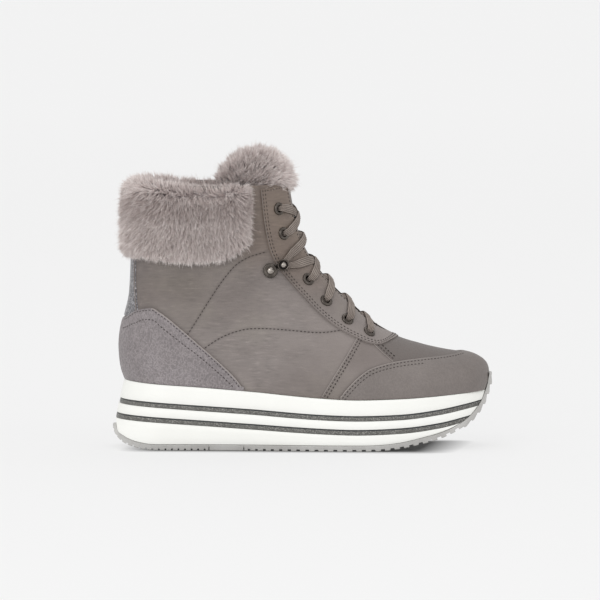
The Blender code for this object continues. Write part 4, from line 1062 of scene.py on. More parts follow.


# Nappa: a fine even grain of under a millimetre, satin where it is stretched, with faint scuffs that run
# along the shoe. The vamp is a shade darker leather; painted shade darkens the shaft and the seams' grooves.
colour = leather_look(leather, "#908783", "#887f7b", "#989089", 0.9, 0.35, streaks=1.0)
colour = tinted(leather, colour, "vamp", "#675f5b")
# Painted shade: the seams' grooves and the overlays' edges, then the shaft and the panels the lamps reach
# less.
colour = tinted(leather, colour, "seam", "#5f5754", most=0.42)
colour = tinted(leather, colour, "painted_shade", (0.7, 0.678, 0.663, 1), blend_type="MULTIPLY")
feed(leather, Base_Color=tinted(leather, colour, "warm", (0.96, 0.85, 0.74, 1), blend_type="MULTIPLY"))
settle(upper, "leather", "upper")

# ================================================================ stitches and cut edges
# Dark polyester thread, sewn at nine or ten stitches an inch, so each shows as a short dash sunk in its
# hole. The cut edges of the overlays are skived and left pale, and their pale colour also carries a painted
# highlight: the thin line of light that they catch.
STITCH = {"pitch": 2.7, "long": 1.6, "wide": 0.56, "high": 0.32}
DASH = table("reach fat", (-0.5, 0.25), (-0.28, 1.0), (0.28, 1.0), (0.5, 0.25))  # a stitch's plump outline
TUBE_SIDES = 6

thread = new_material("dark polyester thread", "#332c29", 0.75)
place = add_node(thread, "TexCoord").outputs["Object"]
twist = add_node(thread, "TexWave", {"Vector": place, "Scale": 700.0, "Distortion": 2.0}).outputs["Fac"]
feed(thread, Normal=add_node(thread, "Bump", {"Height": twist, "Strength": 0.4, "Distance": 0.0002}))

# Pale skived edge, its colour partly a painted highlight.
pale_edge = new_material("skived leather edge with painted highlight", "#a39a95", 0.7)
mottled(pale_edge, [(0.0, "#8d8480"), (1.0, "#b9b0ab")], {"Scale": 500.0, "Detail": 4.0})


def resample(points, normals, pitch):
    """Points every pitch along a line on the surface, with the surface's normals there."""
    reach = length_along(points)
    at = np.arange(pitch / 2, reach[-1], pitch)
    return part_way(points, reach, at), part_way(normals, reach, at)


def spans(points, normals):
    """(ahead, across, up) unit directions along a line of points."""
    ahead = unit(np.gradient(points, axis=0))
    across = unit(np.cross(normals, ahead))
    return ahead, across, np.cross(ahead, across)


def tubes(name, runs, material, slot_name):
    """One mesh of closed tubes; a run is its centres, and each ring's half axes sideways and upwards."""
    turns = np.arange(TUBE_SIDES)[:, None] * 2 * math.pi / TUBE_SIDES
    points, faces = [], []
    for centres, across, up in runs:
        first = len(points) * TUBE_SIDES
        faces += [tuple(first + i for i in face) for face in tube_faces(len(centres), TUBE_SIDES)]
        for centre, wide, high in zip(centres, across, up):
            points.append(centre + np.cos(turns) * wide + np.sin(turns) * high)
    settle(new_piece(name, np.concatenate(points), faces, material, smooth=60.0), slot_name)


def sew(name, rows, slot_name="leather"):
    """The stitches of some seams; a row is its points and the surface's normals."""
    runs = []
    for row, row_normals in rows:
        places, up = resample(row, row_normals, STITCH["pitch"])
        if len(places) < 2:
            continue
        for place, ahead, across, up in zip(places, *spans(places, up)):
            centres = place + np.outer(DASH["reach"], ahead * STITCH["long"])
            across, up = across * STITCH["wide"] / 2, up * STITCH["high"]
            runs.append((centres, np.outer(DASH["fat"], across), np.outer(DASH["fat"], up)))
    tubes(name, runs, thread, slot_name)


def bead(name, rows, radius, material):
    """A thin round edge along some lines on the surface."""
    runs = []
    for row, row_normals in rows:
        places, up = resample(row, row_normals, 0.9)
        _, across, up = spans(places, up)
        runs.append((places, across * radius, up * radius))
    tubes(name, runs, material, "leather")


def on_form(side, line, lift):
    """A side view line laid on one side of the upper and raised by lift, as points and normals."""
    inside = half_width(side, line[:, 0], line[:, 1]) > 0.8
    line = line[inside]
    points = form_point(side, line[:, 0], line[:, 1])
    normals = form_normal(side, line[:, 0], line[:, 1], h=0.15)
    return points + normals * lift, normals


def beside(line, offset):
    """A side view line moved to its left."""
    ahead = unit(np.gradient(line, axis=0))
    return line + np.column_stack([-ahead[:, 1], ahead[:, 0]]) * offset


seam_rows, lap_edges = [], []
for side in SIDES:
    for name, seam in SEAMS.items():
        line = smooth_line(seam, 30)
        if name.endswith("_lap"):
            seam_rows += [on_form(side, beside(line, offset), 0.42) for offset in (1.5, 3.5)]
            lap_edges.append(on_form(side, beside(line, 0.15), 0.12))
        else:
            seam_rows.append(on_form(side, line, -0.12))
sew("quarter_stitches", seam_rows)
bead("lap_edges", lap_edges, 0.17, pale_edge)

# ================================================================ heel counter
# A stiffener under pebbled leather, cut on a slant from the sole up to a blunt peak behind the ankle,
# sewn on with one row at its edge and a second well inside it. It wraps the heel in one piece.
COUNTER_THICK = 1.25
COUNTER_EDGE = table(
    "x z",
    (6, 88.0), (12, 92.0), (21, 98.0), (30.5, 99.6), (37, 96.2), (48, 87.6), (67, 71.2), (81, 58.8),
    (89, 51.0), (95, 43.2),
)
COUNTER_INNER_ROW = table(
    "x z",
    (11.5, 84.5), (19, 88.5), (27.5, 91.6), (31, 91.4), (38, 86.0), (50, 76.5), (63, 66.5), (74, 57.5),
    (82, 50.5), (87, 45.5),
)

pebbled = new_material("pebbled taupe leather", "#847c7b", 0.6)
leather_look(pebbled, "#9c9495", "#8f8788", "#aaa2a4", 1.3, 1.2, specks=1.0)


def edge_rows(side, u, edge):
    """For each net line u, its length and the share v at which it crosses an edge, a height over x."""
    fine = np.linspace(0, 1, 161)
    place = net(side, u, fine)
    above = place[..., 1] - follow(edge, "z", place[..., 0])
    crossing = []
    for line in above:
        k = int(np.argmax(line > 0))
        share = 0.0 if k == 0 else line[k - 1] / (line[k - 1] - line[k])
        crossing.append(fine[max(k - 1, 0)] + share * fine[1])
    length = np.linalg.norm(np.diff(place, axis=1), axis=-1).sum(axis=1)
    return np.array(crossing), length


def lasted_overlay(name, edge, columns, rows, heel, thick, material, swell=0.0):
    """A leather piece on the upper from the sole to an edge line, its top turned down, fuller at the toe."""
    halves = {}
    drops = np.array([0.0, 0.12, 0.35, 0.7, 1.2])  # distances below the edge that its round shoulder needs
    shoulder = 1.2
    for side in SIDES:
        fine = np.linspace(0, 0.72, 300) if heel else np.linspace(1, 0.4, 300)  # the furthest it may reach
        reach = fine[int(np.argmax(edge_rows(side, fine, edge)[0] < 0.012))]
        turn = np.linspace(0, 1, columns + 1)
        u = reach * turn if heel else 1 - (1 - reach) * turn
        tops, lengths = edge_rows(side, u, edge)
        v = []
        for height, length in zip(np.maximum(tops, 0.02), lengths):
            near_edge = height - np.minimum(drops / length, height * np.linspace(0, 0.8, len(drops)))
            v.append(np.concatenate([np.linspace(0, near_edge[-1], rows, endpoint=False), near_edge[::-1]]))
        halves[side] = net_surface(side, u, np.array(v))
    strip = np.concatenate([halves["lateral"][::-1], halves["medial"][1:]])
    normal = grid_normals(strip)
    middle = len(strip) // 2
    if normal[middle, 0, 0] * (strip[middle, 0, 0] - strip[0, 0, 0]) < 0:
        normal = -normal
    below = np.linalg.norm(strip - strip[:, -1:], axis=-1)
    lift = 0.08 + thick * rounded(np.clip(below / shoulder, 0, 1))
    at_tip = ease((strip[..., 0] - 244) / 14) * np.exp(-(((strip[..., 2] - 50) / 9) ** 2))
    lift = lift + swell * at_tip
    outer = strip + normal * lift[..., None]
    coarse = np.linspace(0, strip.shape[1] - 1, 6).astype(int)
    inner = (strip + normal * 0.04)[:, coarse]
    for face in (outer, inner):
        face[:, 0, 2] = sole_z(face[:, 0, 0])
    return skin(name, np.concatenate([outer, inner[:, ::-1]], axis=1), material)


counter = lasted_overlay("heel_counter_pebbled", COUNTER_EDGE, 110, 44, True, COUNTER_THICK, pebbled)
settle(counter, "grained_leather", "heel_counter")


def edge_line(edge, low, high, bunch):
    """An edge table between two x as a fine side view line, with its points bunched at one end."""
    t = np.linspace(0, 1, 300)
    t = t**2 if bunch == "start" else 1 - (1 - t) ** 2
    x = low + (high - low) * t
    return np.column_stack([x, follow(edge, "z", x)])


counter_line = edge_line(COUNTER_EDGE, 11.0, 94.0, bunch="start")
inner_row = edge_line(COUNTER_INNER_ROW, 11.0, 87.0, bunch="start")
descent = counter_line[counter_line[:, 0] > 30.0]
rows = []
for side in SIDES:
    rows.append(on_form(side, beside(counter_line, -1.5), COUNTER_THICK + 0.05))
    rows.append(on_form(side, inner_row, COUNTER_THICK + 0.1))
sew("counter_stitches", rows, "grained_leather")
edges = [on_form(side, beside(descent, -0.35), COUNTER_THICK * 0.72) for side in SIDES]
bead("counter_edge", edges, 0.36, pale_edge)

# ================================================================ back strap
# A narrow strip of silver glitter film over the back seam, from under the fur cuff down into the counter,
# where it spreads. It is folded under at both sides and sewn.
STRAP = table("z reach", (90, 9.6), (97, 8.6), (104, 6.2), (112, 4.6), (121, 3.7), (140, 3.3), (160, 3.3))
STRAP_THICK = 0.7

silver = new_material("silver glitter film", "#8b898a", 0.34, Metallic=0.3)
flaked(silver, 1300.0, [(0.0, "#3c3a3d"), (0.7, "#868487"), (1.0, "#dddbdd")], 0.7)  # flakes of about 0.8 mm

heights = np.linspace(93.0, 150.0, 60)
across = np.linspace(-1, 1, 33)
reach = follow(STRAP, "reach", heights)
strap_x = back_at(heights)[:, None] + reach[:, None] * across**2
strap_z = np.broadcast_to(heights[:, None], strap_x.shape)
half = np.where(across < 0, half_width("lateral", strap_x, strap_z), half_width("medial", strap_x, strap_z))
strap = np.stack([strap_x, swing(strap_x) + np.sign(across) * half, strap_z], axis=-1)
normal = grid_normals(strap)
normal = np.where(normal[:, 16:17, :1] > 0, -normal, normal)
edge = rounded((1 - np.abs(across)) / 0.12)
outer = strap + normal * (0.1 + STRAP_THICK * edge)[None, :, None]
loops = np.concatenate([outer, (strap + normal * 0.05)[:, ::-1]], axis=1)
settle(skin("back_strap", loops, silver, smooth=60.0), "glitter")
strap_edges = [(outer[:, k] + normal[:, k] * 0.1, normal[:, k]) for k in (1, -2)]
bead("back_strap_edges", strap_edges, 0.42, leather)

# ================================================================ toe guard
# Pebbled leather wrapped round the toe as a mudguard, from the sole up to a sweeping edge that meets over
# the toe. The edge is skived pale, with two rows of stitches on its rise and one close row over the top.
GUARD_THICK = 1.0
GUARD_EDGE = table(
    "x z",
    (162, 37.4), (167, 43.8), (176, 52.6), (184, 57.6), (194, 60.6), (206, 62.6), (220, 63.8),
    (234, 64.7), (243, 65.6), (250, 67.0), (258, 70.5),
)
guard_leather = new_material("lightly pebbled taupe leather", "#7f7773", 0.55)
leather_look(guard_leather, "#7e7672", "#766e6a", "#877f7b", 1.1, 0.4, specks=0.4)
GUARD_SWELL = 1.3  # it stands this much fuller at the toe's tip
guard = lasted_overlay(
    "toe_guard_leather", GUARD_EDGE, 120, 34, False, GUARD_THICK, guard_leather, swell=GUARD_SWELL
)
settle(guard, "leather", "toe_guard")
guard_top = edge_line(GUARD_EDGE, 162.5, 249.0, bunch="end")
rise = guard_top[guard_top[:, 0] < 222.0]
rows, edges = [], []
for side in SIDES:
    rows.append(on_form(side, beside(guard_top, -1.5), GUARD_THICK + 0.1))
    rows.append(on_form(side, beside(rise, -3.6), GUARD_THICK + 0.1))
    edges.append(on_form(side, beside(guard_top, -0.3), GUARD_THICK * 0.7))
sew("guard_stitches", rows)
bead("guard_edge", edges, 0.26, pale_edge)

# ================================================================ lacing facing
# A second layer of leather round the lacing slot, a horseshoe from the collar's corner over the vamp and
# up the other side. It is sewn on with two rows inside a pale skived edge, and punched for the eyelets.
FACING_THICK = 0.9
FACING_EDGE = table(
    "x z",
    (106.2, 185.0), (107.2, 174.0), (108.4, 163.0), (110.4, 150.5), (113.2, 139.5), (117.0, 131.5),
    (121.8, 124.8), (128.6, 116.4), (136.5, 107.8), (149.8, 94.4), (161.7, 85.4), (174.3, 78.6),
    (183.0, 75.0), (189.5, 73.9), (196.0, 75.4), (201.5, 77.6), (204.5, 78.25),
)
FACING_STATIONS, FACING_LINES = 170, 24

facing_line = along(smooth_line(FACING_EDGE, 14), np.linspace(0, 1, FACING_STATIONS))
halves = []
for side, way in SIDES.items():
    gaps = np.hypot(*(ridge[None, ridge_top:] - facing_line[:, None]).transpose(2, 0, 1))
    up_ridge = ridge_reach[ridge_top:][np.argmin(gaps, axis=1)]
    up_ridge = np.convolve(np.pad(up_ridge, 3, mode="edge"), np.ones(7) / 7, "valid")
    out_y = half_width(side, facing_line[:, 0], facing_line[:, 1])
    out_y[-1] = 0.0
    share = np.clip((up_ridge - up_ridge[-1]) / (up_ridge[0] - up_ridge[-1]), 0, 1)
    in_s, in_y = share * slot_length, slot_half(share)
    t = np.concatenate([[0, 0.012, 0.035, 0.07], np.linspace(0.12, 1, FACING_LINES - 4)])[None]
    s = up_ridge[:, None] + (in_s - up_ridge)[:, None] * t
    y = out_y[:, None] + (in_y - out_y)[:, None] * t
    halves.append(crown_point(s, way * y))
strip = np.concatenate([halves[0], halves[1][-2::-1]])
normal = grid_normals(strip)
normal = np.where(normal[:, 10:11, 2:] + normal[:, 10:11, :1] < 0, -normal, normal)
span = np.linalg.norm(strip - strip[:, :1], axis=-1)
width = span[:, -1]
to_slot = (width[:, None] - span) / 0.9 + 0.25
lift = 0.08 + FACING_THICK * rounded(span / 0.8) * rounded(to_slot)
outer = strip + normal * lift[..., None]
inner = (strip + normal * 0.03)[:, :: (FACING_LINES - 1) // 4]
facing = skin("lacing_facing", np.concatenate([outer, inner[:, ::-1]], axis=1), leather)
punch(facing)
# Painted shade on the facing, deeper higher up.
paint(facing, "painted_shade", 0.27 + 0.4 * ease((side_places(facing)[2] - 76) / 30))
paint(facing, "warm", 0.9 * ease((side_places(facing)[2] - 96) / 44))
settle(facing, "leather")


def facing_row(first, last, inside):
    """A line on the facing that keeps a distance inside its outer edge, or outside the slot if negative."""
    points, normals = [], []
    for k in range(first, last):
        at = inside if inside > 0 else width[k] + inside
        if not 0 < at < width[k]:
            continue
        points.append(part_way(outer[k], span[k], at))
        normals.append(part_way(normal[k], span[k], at))
    return np.array(points), np.array(normals)


last = len(strip)
half_way = last // 2
rows = [facing_row(0, last, 1.6), facing_row(0, last, 3.5)]
rows += [facing_row(2, half_way - 14, -2.2), facing_row(half_way + 14, last - 2, -2.2)]
rows += [(outer[k, 4:-3], normal[k, 4:-3]) for k in (3, last - 4)]
sew("facing_stitches", rows)
bead("facing_edge", [(outer[:, 1] + normal[:, 1] * 0.05, normal[:, 1])], 0.2, leather)

# Painted shade in the leather beside the overlays' edges, where they would shade it.
x, y, z = side_places(upper)
seam_layer = upper.data.attributes["seam"].data
edge_shade = np.empty(len(x), np.float32)
seam_layer.foreach_get("value", edge_shade)
for line in (facing_line, counter_line, guard_top):
    edge_shade = np.maximum(edge_shade, np.exp(-((across_line(line, x, z) / 1.5) ** 2)))
seam_layer.foreach_set("value", edge_shade)

# ================================================================ tongue
# A padded leather tongue, sewn in under the vamp and rising under the laces to the collar. Its face
# bulges a little between the two rows of eyelets, and its edges are turned over foam.
TONGUE = table(
    "s half thick",
    (-11, 12.0, 2.6), (12, 15.0, 3.4), (40, 18.0, 4.0), (70, 20.5, 4.2), (100, 23.0, 4.2),
    (127, 25.0, 4.0),
)
TONGUE_DEPTH = WALL + 1.9  # its face lies this far below the outside of the upper
TONGUE_BULGE = 3.4

s = np.linspace(TONGUE["s"][0], slot_length + 0.6, 56)
half, thick = (follow(TONGUE, column, s)[:, None] for column in ("half", "thick"))
share = np.sin(np.linspace(-math.pi / 2, math.pi / 2, 33))[None]
across = half * share
bulge = TONGUE_BULGE * (1 - share**2) * ease(s / 30)[:, None]
pillow = thick / 2 * (1 - np.abs(share) ** 5) ** 0.5
face = crown(s[:, None], across, bulge - TONGUE_DEPTH - thick / 2 + pillow)
back = crown(s[:, None], across * 0.995, bulge - TONGUE_DEPTH - thick / 2 - pillow - 0.05)
tongue = skin("tongue_padded", np.concatenate([face, back[:, ::-1]], axis=1), leather, smooth=60.0)
# Painted shade on the tongue, deeper higher up.
paint(tongue, "painted_shade", 0.27 + 0.4 * ease((side_places(tongue)[2] - 76) / 30))
settle(tongue, "leather", "tongue")

# ================================================================ eyelets
# Rolled gunmetal eyelets, dark nickel over brass: a domed flange over the facing and a barrel through the
# wall, splayed behind. Their plating is polished, with hairline wear, and darker in its recesses as painted
# shade.
EYELET = {"flange": 4.5, "bore": 2.1}


def plated(name, dark, light, recess_shade_colour):
    """Nickel plate with hairline wear, and painted shade in its recesses."""
    material = new_material(name, light, 0.24, Metallic=1.0)
    place = add_node(material, "TexCoord").outputs["Object"]
    wear = add_node(material, "TexNoise", {"Vector": place, "Scale": 320.0, "Detail": 6.0, "Roughness": 0.7})
    colour = add_node(material, "ValToRGB", {"Fac": wear}, stops=[(0.35, dark), (0.75, light)])
    gloss = add_node(material, "MapRange", {"Value": wear, "To Min": 0.14, "To Max": 0.34})
    feed(material, Base_Color=tinted(material, colour, "recess_shade", recess_shade_colour), Roughness=gloss)
    return material


# Hardware nickel, and a lighter copy of it whose colour paints the highlights of the rivet domes and balls.
gunmetal = plated("dark nickel plate", "#45403c", "#746d67", "#151211")
highlight_metal = plated("nickel plate with painted highlight", "#8f8882", "#c9c2ba", "#2a2624")

# A dark sheet inside each hook's bell, standing in for the shade there.
shade_metal = new_material("dark metal standing in for shade", "#262322", 0.5, Metallic=0.6)


def seat(piece, at, axis, heading=None, lift=0.0):
    """Moves a piece made at the origin, +Z up, to a place on the boot, its +X turned towards heading."""
    up = Vector(axis).normalized()
    ahead = Vector(heading) if heading is not None else up.orthogonal()
    ahead = (ahead - up * ahead.dot(up)).normalized()
    side = up.cross(ahead)
    turn = Matrix((ahead, side, up)).transposed().to_4x4()
    place = Matrix.Translation(Vector(to_frame(at + np.array(axis) * lift)))
    piece.matrix_world = place @ turn @ piece.matrix_world
    pick_only(piece)
    bpy.ops.object.transform_apply(location=True, rotation=True, scale=True)


def turned_ring(name, profile, steps, material):
    """A closed profile of (radius, height) in millimetres turned round +Z."""
    turns = np.arange(steps) * 2 * math.pi / steps
    points = [[(r * math.cos(turn), r * math.sin(turn), h) for r, h in profile] for turn in turns]
    piece = skin(name, np.array(points) + FRAME_ORIGIN, material, smooth=50.0, joined=True)
    # Painted shade: the lower parts of the profile, its foot and recesses, are drawn darker.
    low = np.array([h for _, h in profile])
    paint(piece, "recess_shade", np.tile(1 - ease((low - low.min()) / (0.75 * np.ptp(low)) - 0.1), steps))
    return piece


foot, rim, bore = FACING_THICK + 0.1, EYELET["flange"], EYELET["bore"]
bends = np.linspace(-0.35, math.pi + 0.1, 9)
roll = [(3.35 + 1.15 * math.cos(bend), foot + 0.25 + 0.95 * math.sin(bend)) for bend in bends]
barrel = [(bore, foot - 0.6), (bore, -WALL - 0.5), (bore + 0.9, -WALL - 1.0)]
barrel += [(bore + 1.0, -WALL - 0.8), (bore + 0.35, -WALL - 0.2), (bore + 0.35, foot)]
eyelet_profile = [(rim - 0.1, foot)] + roll + barrel
for side in SIDES:
    for k, (at, axis) in enumerate(eyelet_spots[side]):
        ring = turned_ring(f"eyelet_ring_{side}_{k + 1}", eyelet_profile, 28, gunmetal)
        seat(ring, at, axis)
        settle(ring, "gunmetal", f"eyelet_{side}_{k + 1}")

# ================================================================ lacing hooks
# A pressed steel hook: a washer riveted to the facing with a domed rivet, a neck towards the slot, and a
# bell-shaped head folded back over it that ends in a small ball, bright with a painted highlight. A dark
# disc inside the bell stands in for its shade. The lace turns round the neck.
HOOK_NECK = table(
    "x z",
    (1.5, 0.9), (6.0, 0.9), (10.0, 0.95), (12.2, 1.2), (13.2, 2.0), (13.5, 3.1), (13.0, 4.2), (11.8, 4.9),
    (10.0, 5.1),
)
HOOK = {"head_at": 9.2, "rise": 4.3}  # the head's place ahead of the rivet, and its height


def ball(name, radius, squash, material):
    """A polished knob, flattened along its axis."""
    bpy.ops.object.select_all(action="DESELECT")
    bpy.ops.mesh.primitive_uv_sphere_add(segments=24, ring_count=14, radius=radius * 0.001)
    piece = bpy.context.object
    piece.name = name
    piece.scale.z = squash
    bpy.ops.object.transform_apply(scale=True)
    bpy.ops.object.shade_smooth()
    piece.data.materials.append(material)
    return piece


def hook_strip():
    """The neck's strip: from under the rivet out to the slot's side, up and back to the head."""
    path = smooth_line(HOOK_NECK, 5)
    ahead = unit(np.gradient(path, axis=0))
    up = np.column_stack([-ahead[:, 1], ahead[:, 0]])
    share = np.linspace(0, 1, len(path))
    half = 2.2 - 0.9 * np.exp(-(((share - 0.66) / 0.2) ** 2))
    rings = []
    strip = ((-1, -0.3), (-0.8, -0.5), (0.8, -0.5), (1, -0.3), (1, 0.3), (0.8, 0.5), (-0.8, 0.5), (-1, 0.3))
    for (x, z), (dx, dz), wide in zip(path, up * 0.9, half):
        rings.append([(x + dx * h, y * wide, z + dz * h) for y, h in strip])
    return np.array(rings) + FRAME_ORIGIN


WASHER = [
    (5.1, 0.15), (5.2, 0.5), (5.0, 0.85), (4.5, 1.1), (3.9, 1.0), (3.2, 0.75), (2.6, 0.7), (0.6, 0.7),
    (0.6, 0.1), (5.0, 0.1),
]
BELL = [
    (2.0, 0.0), (3.0, 0.15), (3.8, 0.7), (4.15, 1.5), (4.1, 2.1), (3.7, 2.4), (3.2, 2.2), (2.8, 1.6),
    (2.4, 1.0), (1.6, 0.8), (0.5, 0.8), (0.5, 0.0),
]
HOLLOW = [(2.7, 0.0), (2.7, 0.3), (0.4, 0.3), (0.4, 0.0)]
for side in SIDES:
    at, axis = form_point(side, *HOOK_RIVET), form_normal(side, *HOOK_RIVET)
    heading = form_point(side, *HOOK_HEAD) - at
    foot = FACING_THICK + 0.15
    top = foot + HOOK["rise"]
    ahead = Vector(heading) - Vector(axis) * Vector(heading).dot(Vector(axis))
    head_at = at + np.array(ahead.normalized()) * HOOK["head_at"]
    washer = turned_ring(f"hook_washer_{side}", WASHER, 32, gunmetal)
    dome = ball(f"hook_rivet_{side}", 2.6, 0.72, highlight_metal)
    neck = skin(f"hook_neck_{side}", hook_strip(), gunmetal, smooth=50.0)
    bell = turned_ring(f"hook_bell_{side}", BELL, 28, gunmetal)
    hollow = turned_ring(f"hook_hollow_{side}", HOLLOW, 24, shade_metal)
    tip = ball(f"hook_ball_{side}", 2.05, 0.9, highlight_metal)
    for piece, spot, lift in (
        (washer, at, foot), (dome, at, foot + 0.9), (neck, at, foot - 0.7), (bell, head_at, top - 0.9),
        (hollow, head_at, top + 0.15), (tip, head_at, top + 1.2),
    ):
        seat(piece, spot, axis, heading, lift)
        settle(piece, "gunmetal", *([f"hook_{side}"] if piece == washer else []))

# ================================================================ lace
# One flat ribbed polyester lace, 6 mm wide. Each run leaves its eyelet from inside, crosses over the
# tongue and goes in under the other facing; between the third and fourth eyelets it turns round the
# hooks, and its ends go in through the top eyelets from outside.
LACE_WIDTH, LACE_THICK, LACE_RIBS = 6.3, 1.5, 5

lace_material = new_material("ribbed polyester lace", "#857a73", 0.78)
fluff, weave = {"Scale": 120.0, "Detail": 4.0}, {"Scale": 1400.0, "Detail": 3.0}
colour = mottled(lace_material, [(0.3, "#8a7e76"), (0.7, "#a3978e")], fluff, weave, 0.5, 0.0003)
# Painted shade in the valleys between the ribs.
feed(lace_material, Base_Color=tinted(lace_material, colour, "rib_shade", "#413935"))


def lace_spot(side, x, z):
    """(s, y) of a side view place on one side, along and across the slot."""
    return crown_reach(x, z), SIDES[side] * float(half_width(side, x, z))


def smooth_path(knots, per_span):
    """A Catmull-Rom curve through rows of numbers."""
    knots = np.asarray(knots, float)
    knots = np.vstack([2 * knots[0] - knots[1], knots, 2 * knots[-1] - knots[-2]])
    rows = []
    for i in range(1, len(knots) - 2):
        a, b, c, d = knots[i - 1 : i + 3]
        for t in np.linspace(0, 1, per_span, endpoint=False):
            bend, twist = 2 * a - 5 * b + 4 * c - d, 3 * b - 3 * c + d - a
            rows.append(0.5 * (2 * b + (c - a) * t + bend * t**2 + twist * t**3))
    return np.array(rows + [knots[-2]])


def strap(name, knots):
    """A ribbed strap through knots of (s, y, lift, share of full width), flat on the boot's form."""
    path = smooth_path(knots, 7)
    base, normal = crown_frame(path[:, 0], path[:, 1])
    centre = base + normal * path[:, 2:3]
    heading = np.gradient(base, axis=0)
    heading -= normal * (heading * normal).sum(1, keepdims=True)
    still = np.linalg.norm(heading, axis=1) < 0.05
    moving = np.flatnonzero(~still)
    for k in np.flatnonzero(still):
        heading[k] = heading[moving[np.argmin(np.abs(moving - k))]]
    across = np.pad(np.cross(normal, unit(heading)), ((2, 2), (0, 0)), mode="edge")
    across = np.stack([np.convolve(column, np.ones(5) / 5, "valid") for column in across.T], axis=1)
    ahead = unit(np.gradient(centre, axis=0))
    across = unit(across - ahead * (across * ahead).sum(1, keepdims=True))
    up = np.cross(ahead, across)
    up *= np.sign((up * normal).sum(1, keepdims=True) + 1e-6)
    share = np.linspace(-1, 1, 4 * LACE_RIBS + 1)
    valley = 1 - (0.5 - 0.5 * np.cos((share + 1) * math.pi * LACE_RIBS))
    top = 0.5 * (1 - np.abs(share) ** 4) ** 0.5 - 0.2 * valley * (np.abs(share) < 0.99)
    wide = np.concatenate([share, share[-2:0:-1]])
    high = np.concatenate([top, -top[-2:0:-1]])
    dark = np.concatenate([valley, valley[-2:0:-1]])
    width = LACE_WIDTH / 2 * path[:, 3]
    thick = LACE_THICK * (1 + 0.8 * (1 - path[:, 3]))
    rings = centre[:, None] + across[:, None] * (width[:, None] * wide)[..., None]
    rings = rings + up[:, None] * (thick[:, None] * high)[..., None]
    piece = skin(name, rings, lace_material, smooth=40.0)
    # The ribs' valleys carry the painted shade.
    paint(piece, "rib_shade", np.tile(dark**2, len(rings)))
    settle(piece, "lace", "lace")


def leave_hole(spot, toward):
    """Knots for a run that comes out of an eyelet, over its ring on the side it heads for."""
    (s, y), (ds, dy) = spot, toward
    steps = ((0.3, -4.2, 0.62), (0.6, -1.2, 0.66), (1.1, 1.4, 0.76), (3.2, 2.95, 0.9), (6.0, 2.2, 1.0))
    return [(s + ds * reach, y + dy * reach, lift, share) for reach, lift, share in steps]


def way_to(here, there):
    """Unit direction in (s, y) from one spot to another."""
    step = np.subtract(there, here)
    return step / np.linalg.norm(step)


holes = {side: [lace_spot(side, x, z) for x, z in zip(EYELETS["x"], EYELETS["z"])] for side in SIDES}
hook_turn = {}
for side in SIDES:
    ahead = (np.array(HOOK_HEAD) - HOOK_RIVET) / math.dist(HOOK_RIVET, HOOK_HEAD)
    x, z = np.array(HOOK_RIVET) + ahead * 10.6
    hook_turn[side] = lace_spot(side, x, z)


def over_tongue(here, there, upper):
    """Knots where a run crosses the slot's middle, over or under the other one."""
    s_mid = (here[0] + there[0]) / 2
    rise = 1.55 if upper else 0.25 - 1.3 * (1 - ease((s_mid - 8) / 16))
    ds, dy = way_to(here, there) * 4.2  # the crossing takes this much of the run before and after it
    before, after = (s_mid - ds, -dy, 0.5 + 0.6 * rise, 1.0), (s_mid + ds, dy, 0.2 + 0.5 * rise, 1.0)
    return [before, (s_mid, 0.0, rise + 0.3, 1.0), after]


def dive_under(here, there):
    """Knots where a run goes in under the far facing, as far as its eyelet."""
    edge = float(slot_half(np.clip(there[0] / slot_length, 0, 1))) * np.sign(there[1])
    way = way_to(here, there)
    s_edge = there[0] - way[0] * (there[1] - edge) / way[1]
    before = (s_edge - way[0] * 3.0, edge - way[1] * 3.0, -1.6, 1.0)
    under = (s_edge + way[0] * 2.0, edge + way[1] * 2.0, -3.9, 0.95)
    return [before, under, (there[0] - way[0] * 1.0, there[1] - way[1] * 1.0, -4.4, 0.8)]


other = {"lateral": "medial", "medial": "lateral"}
for side in SIDES:
    far = other[side]
    upper = side == "lateral"
    for k in (0, 1, 2):
        here, there = holes[side][k], holes[far][k + 1]
        knots = leave_hole(here, way_to(here, there)) + over_tongue(here, there, upper)
        strap(f"lace_run_{k + 1}_{side}", knots + dive_under(here, there))
    # From the fourth eyelet over to the far hook, round its neck and back to the fifth eyelet on this side.
    here, turn, there = holes[side][3], hook_turn[far], holes[side][4]
    low, high = (turn[0] - 2.6, turn[1]), (turn[0] + 2.6, turn[1])
    way_in, way_out = way_to(here, low), way_to(high, there)
    inward = -np.sign(turn[1])
    knots = leave_hole(here, way_in) + over_tongue(here, low, upper)
    knots += [
        (low[0] - way_in[0] * 8, low[1] - way_in[1] * 8, 2.2, 1.0),
        (low[0] - 0.2, low[1] + inward * 2.5, 2.6, 0.72), (turn[0], turn[1] - inward * 0.6, 2.7, 0.6),
        (high[0] + 0.2, high[1] + inward * 2.5, 2.6, 0.72),
        (high[0] + way_out[0] * 8, high[1] + way_out[1] * 8, 2.2, 1.0),
    ]
    knots += over_tongue(high, there, not upper) + dive_under(high, there)
    strap(f"lace_run_4_{side}", knots)
    # The last run goes over the far facing and into the top eyelet from outside.
    here, there = holes[side][4], holes[far][5]
    way = way_to(here, there)
    into = leave_hole(there, -way)[::-1]
    strap(f"lace_run_5_{side}", leave_hole(here, way) + over_tongue(here, there, upper) + into)

here, there = holes["lateral"][0], holes["medial"][0]
strap("lace_bottom_bar", [(s, y, -4.3, 0.9) for s, y in np.linspace(here, there, 5)])

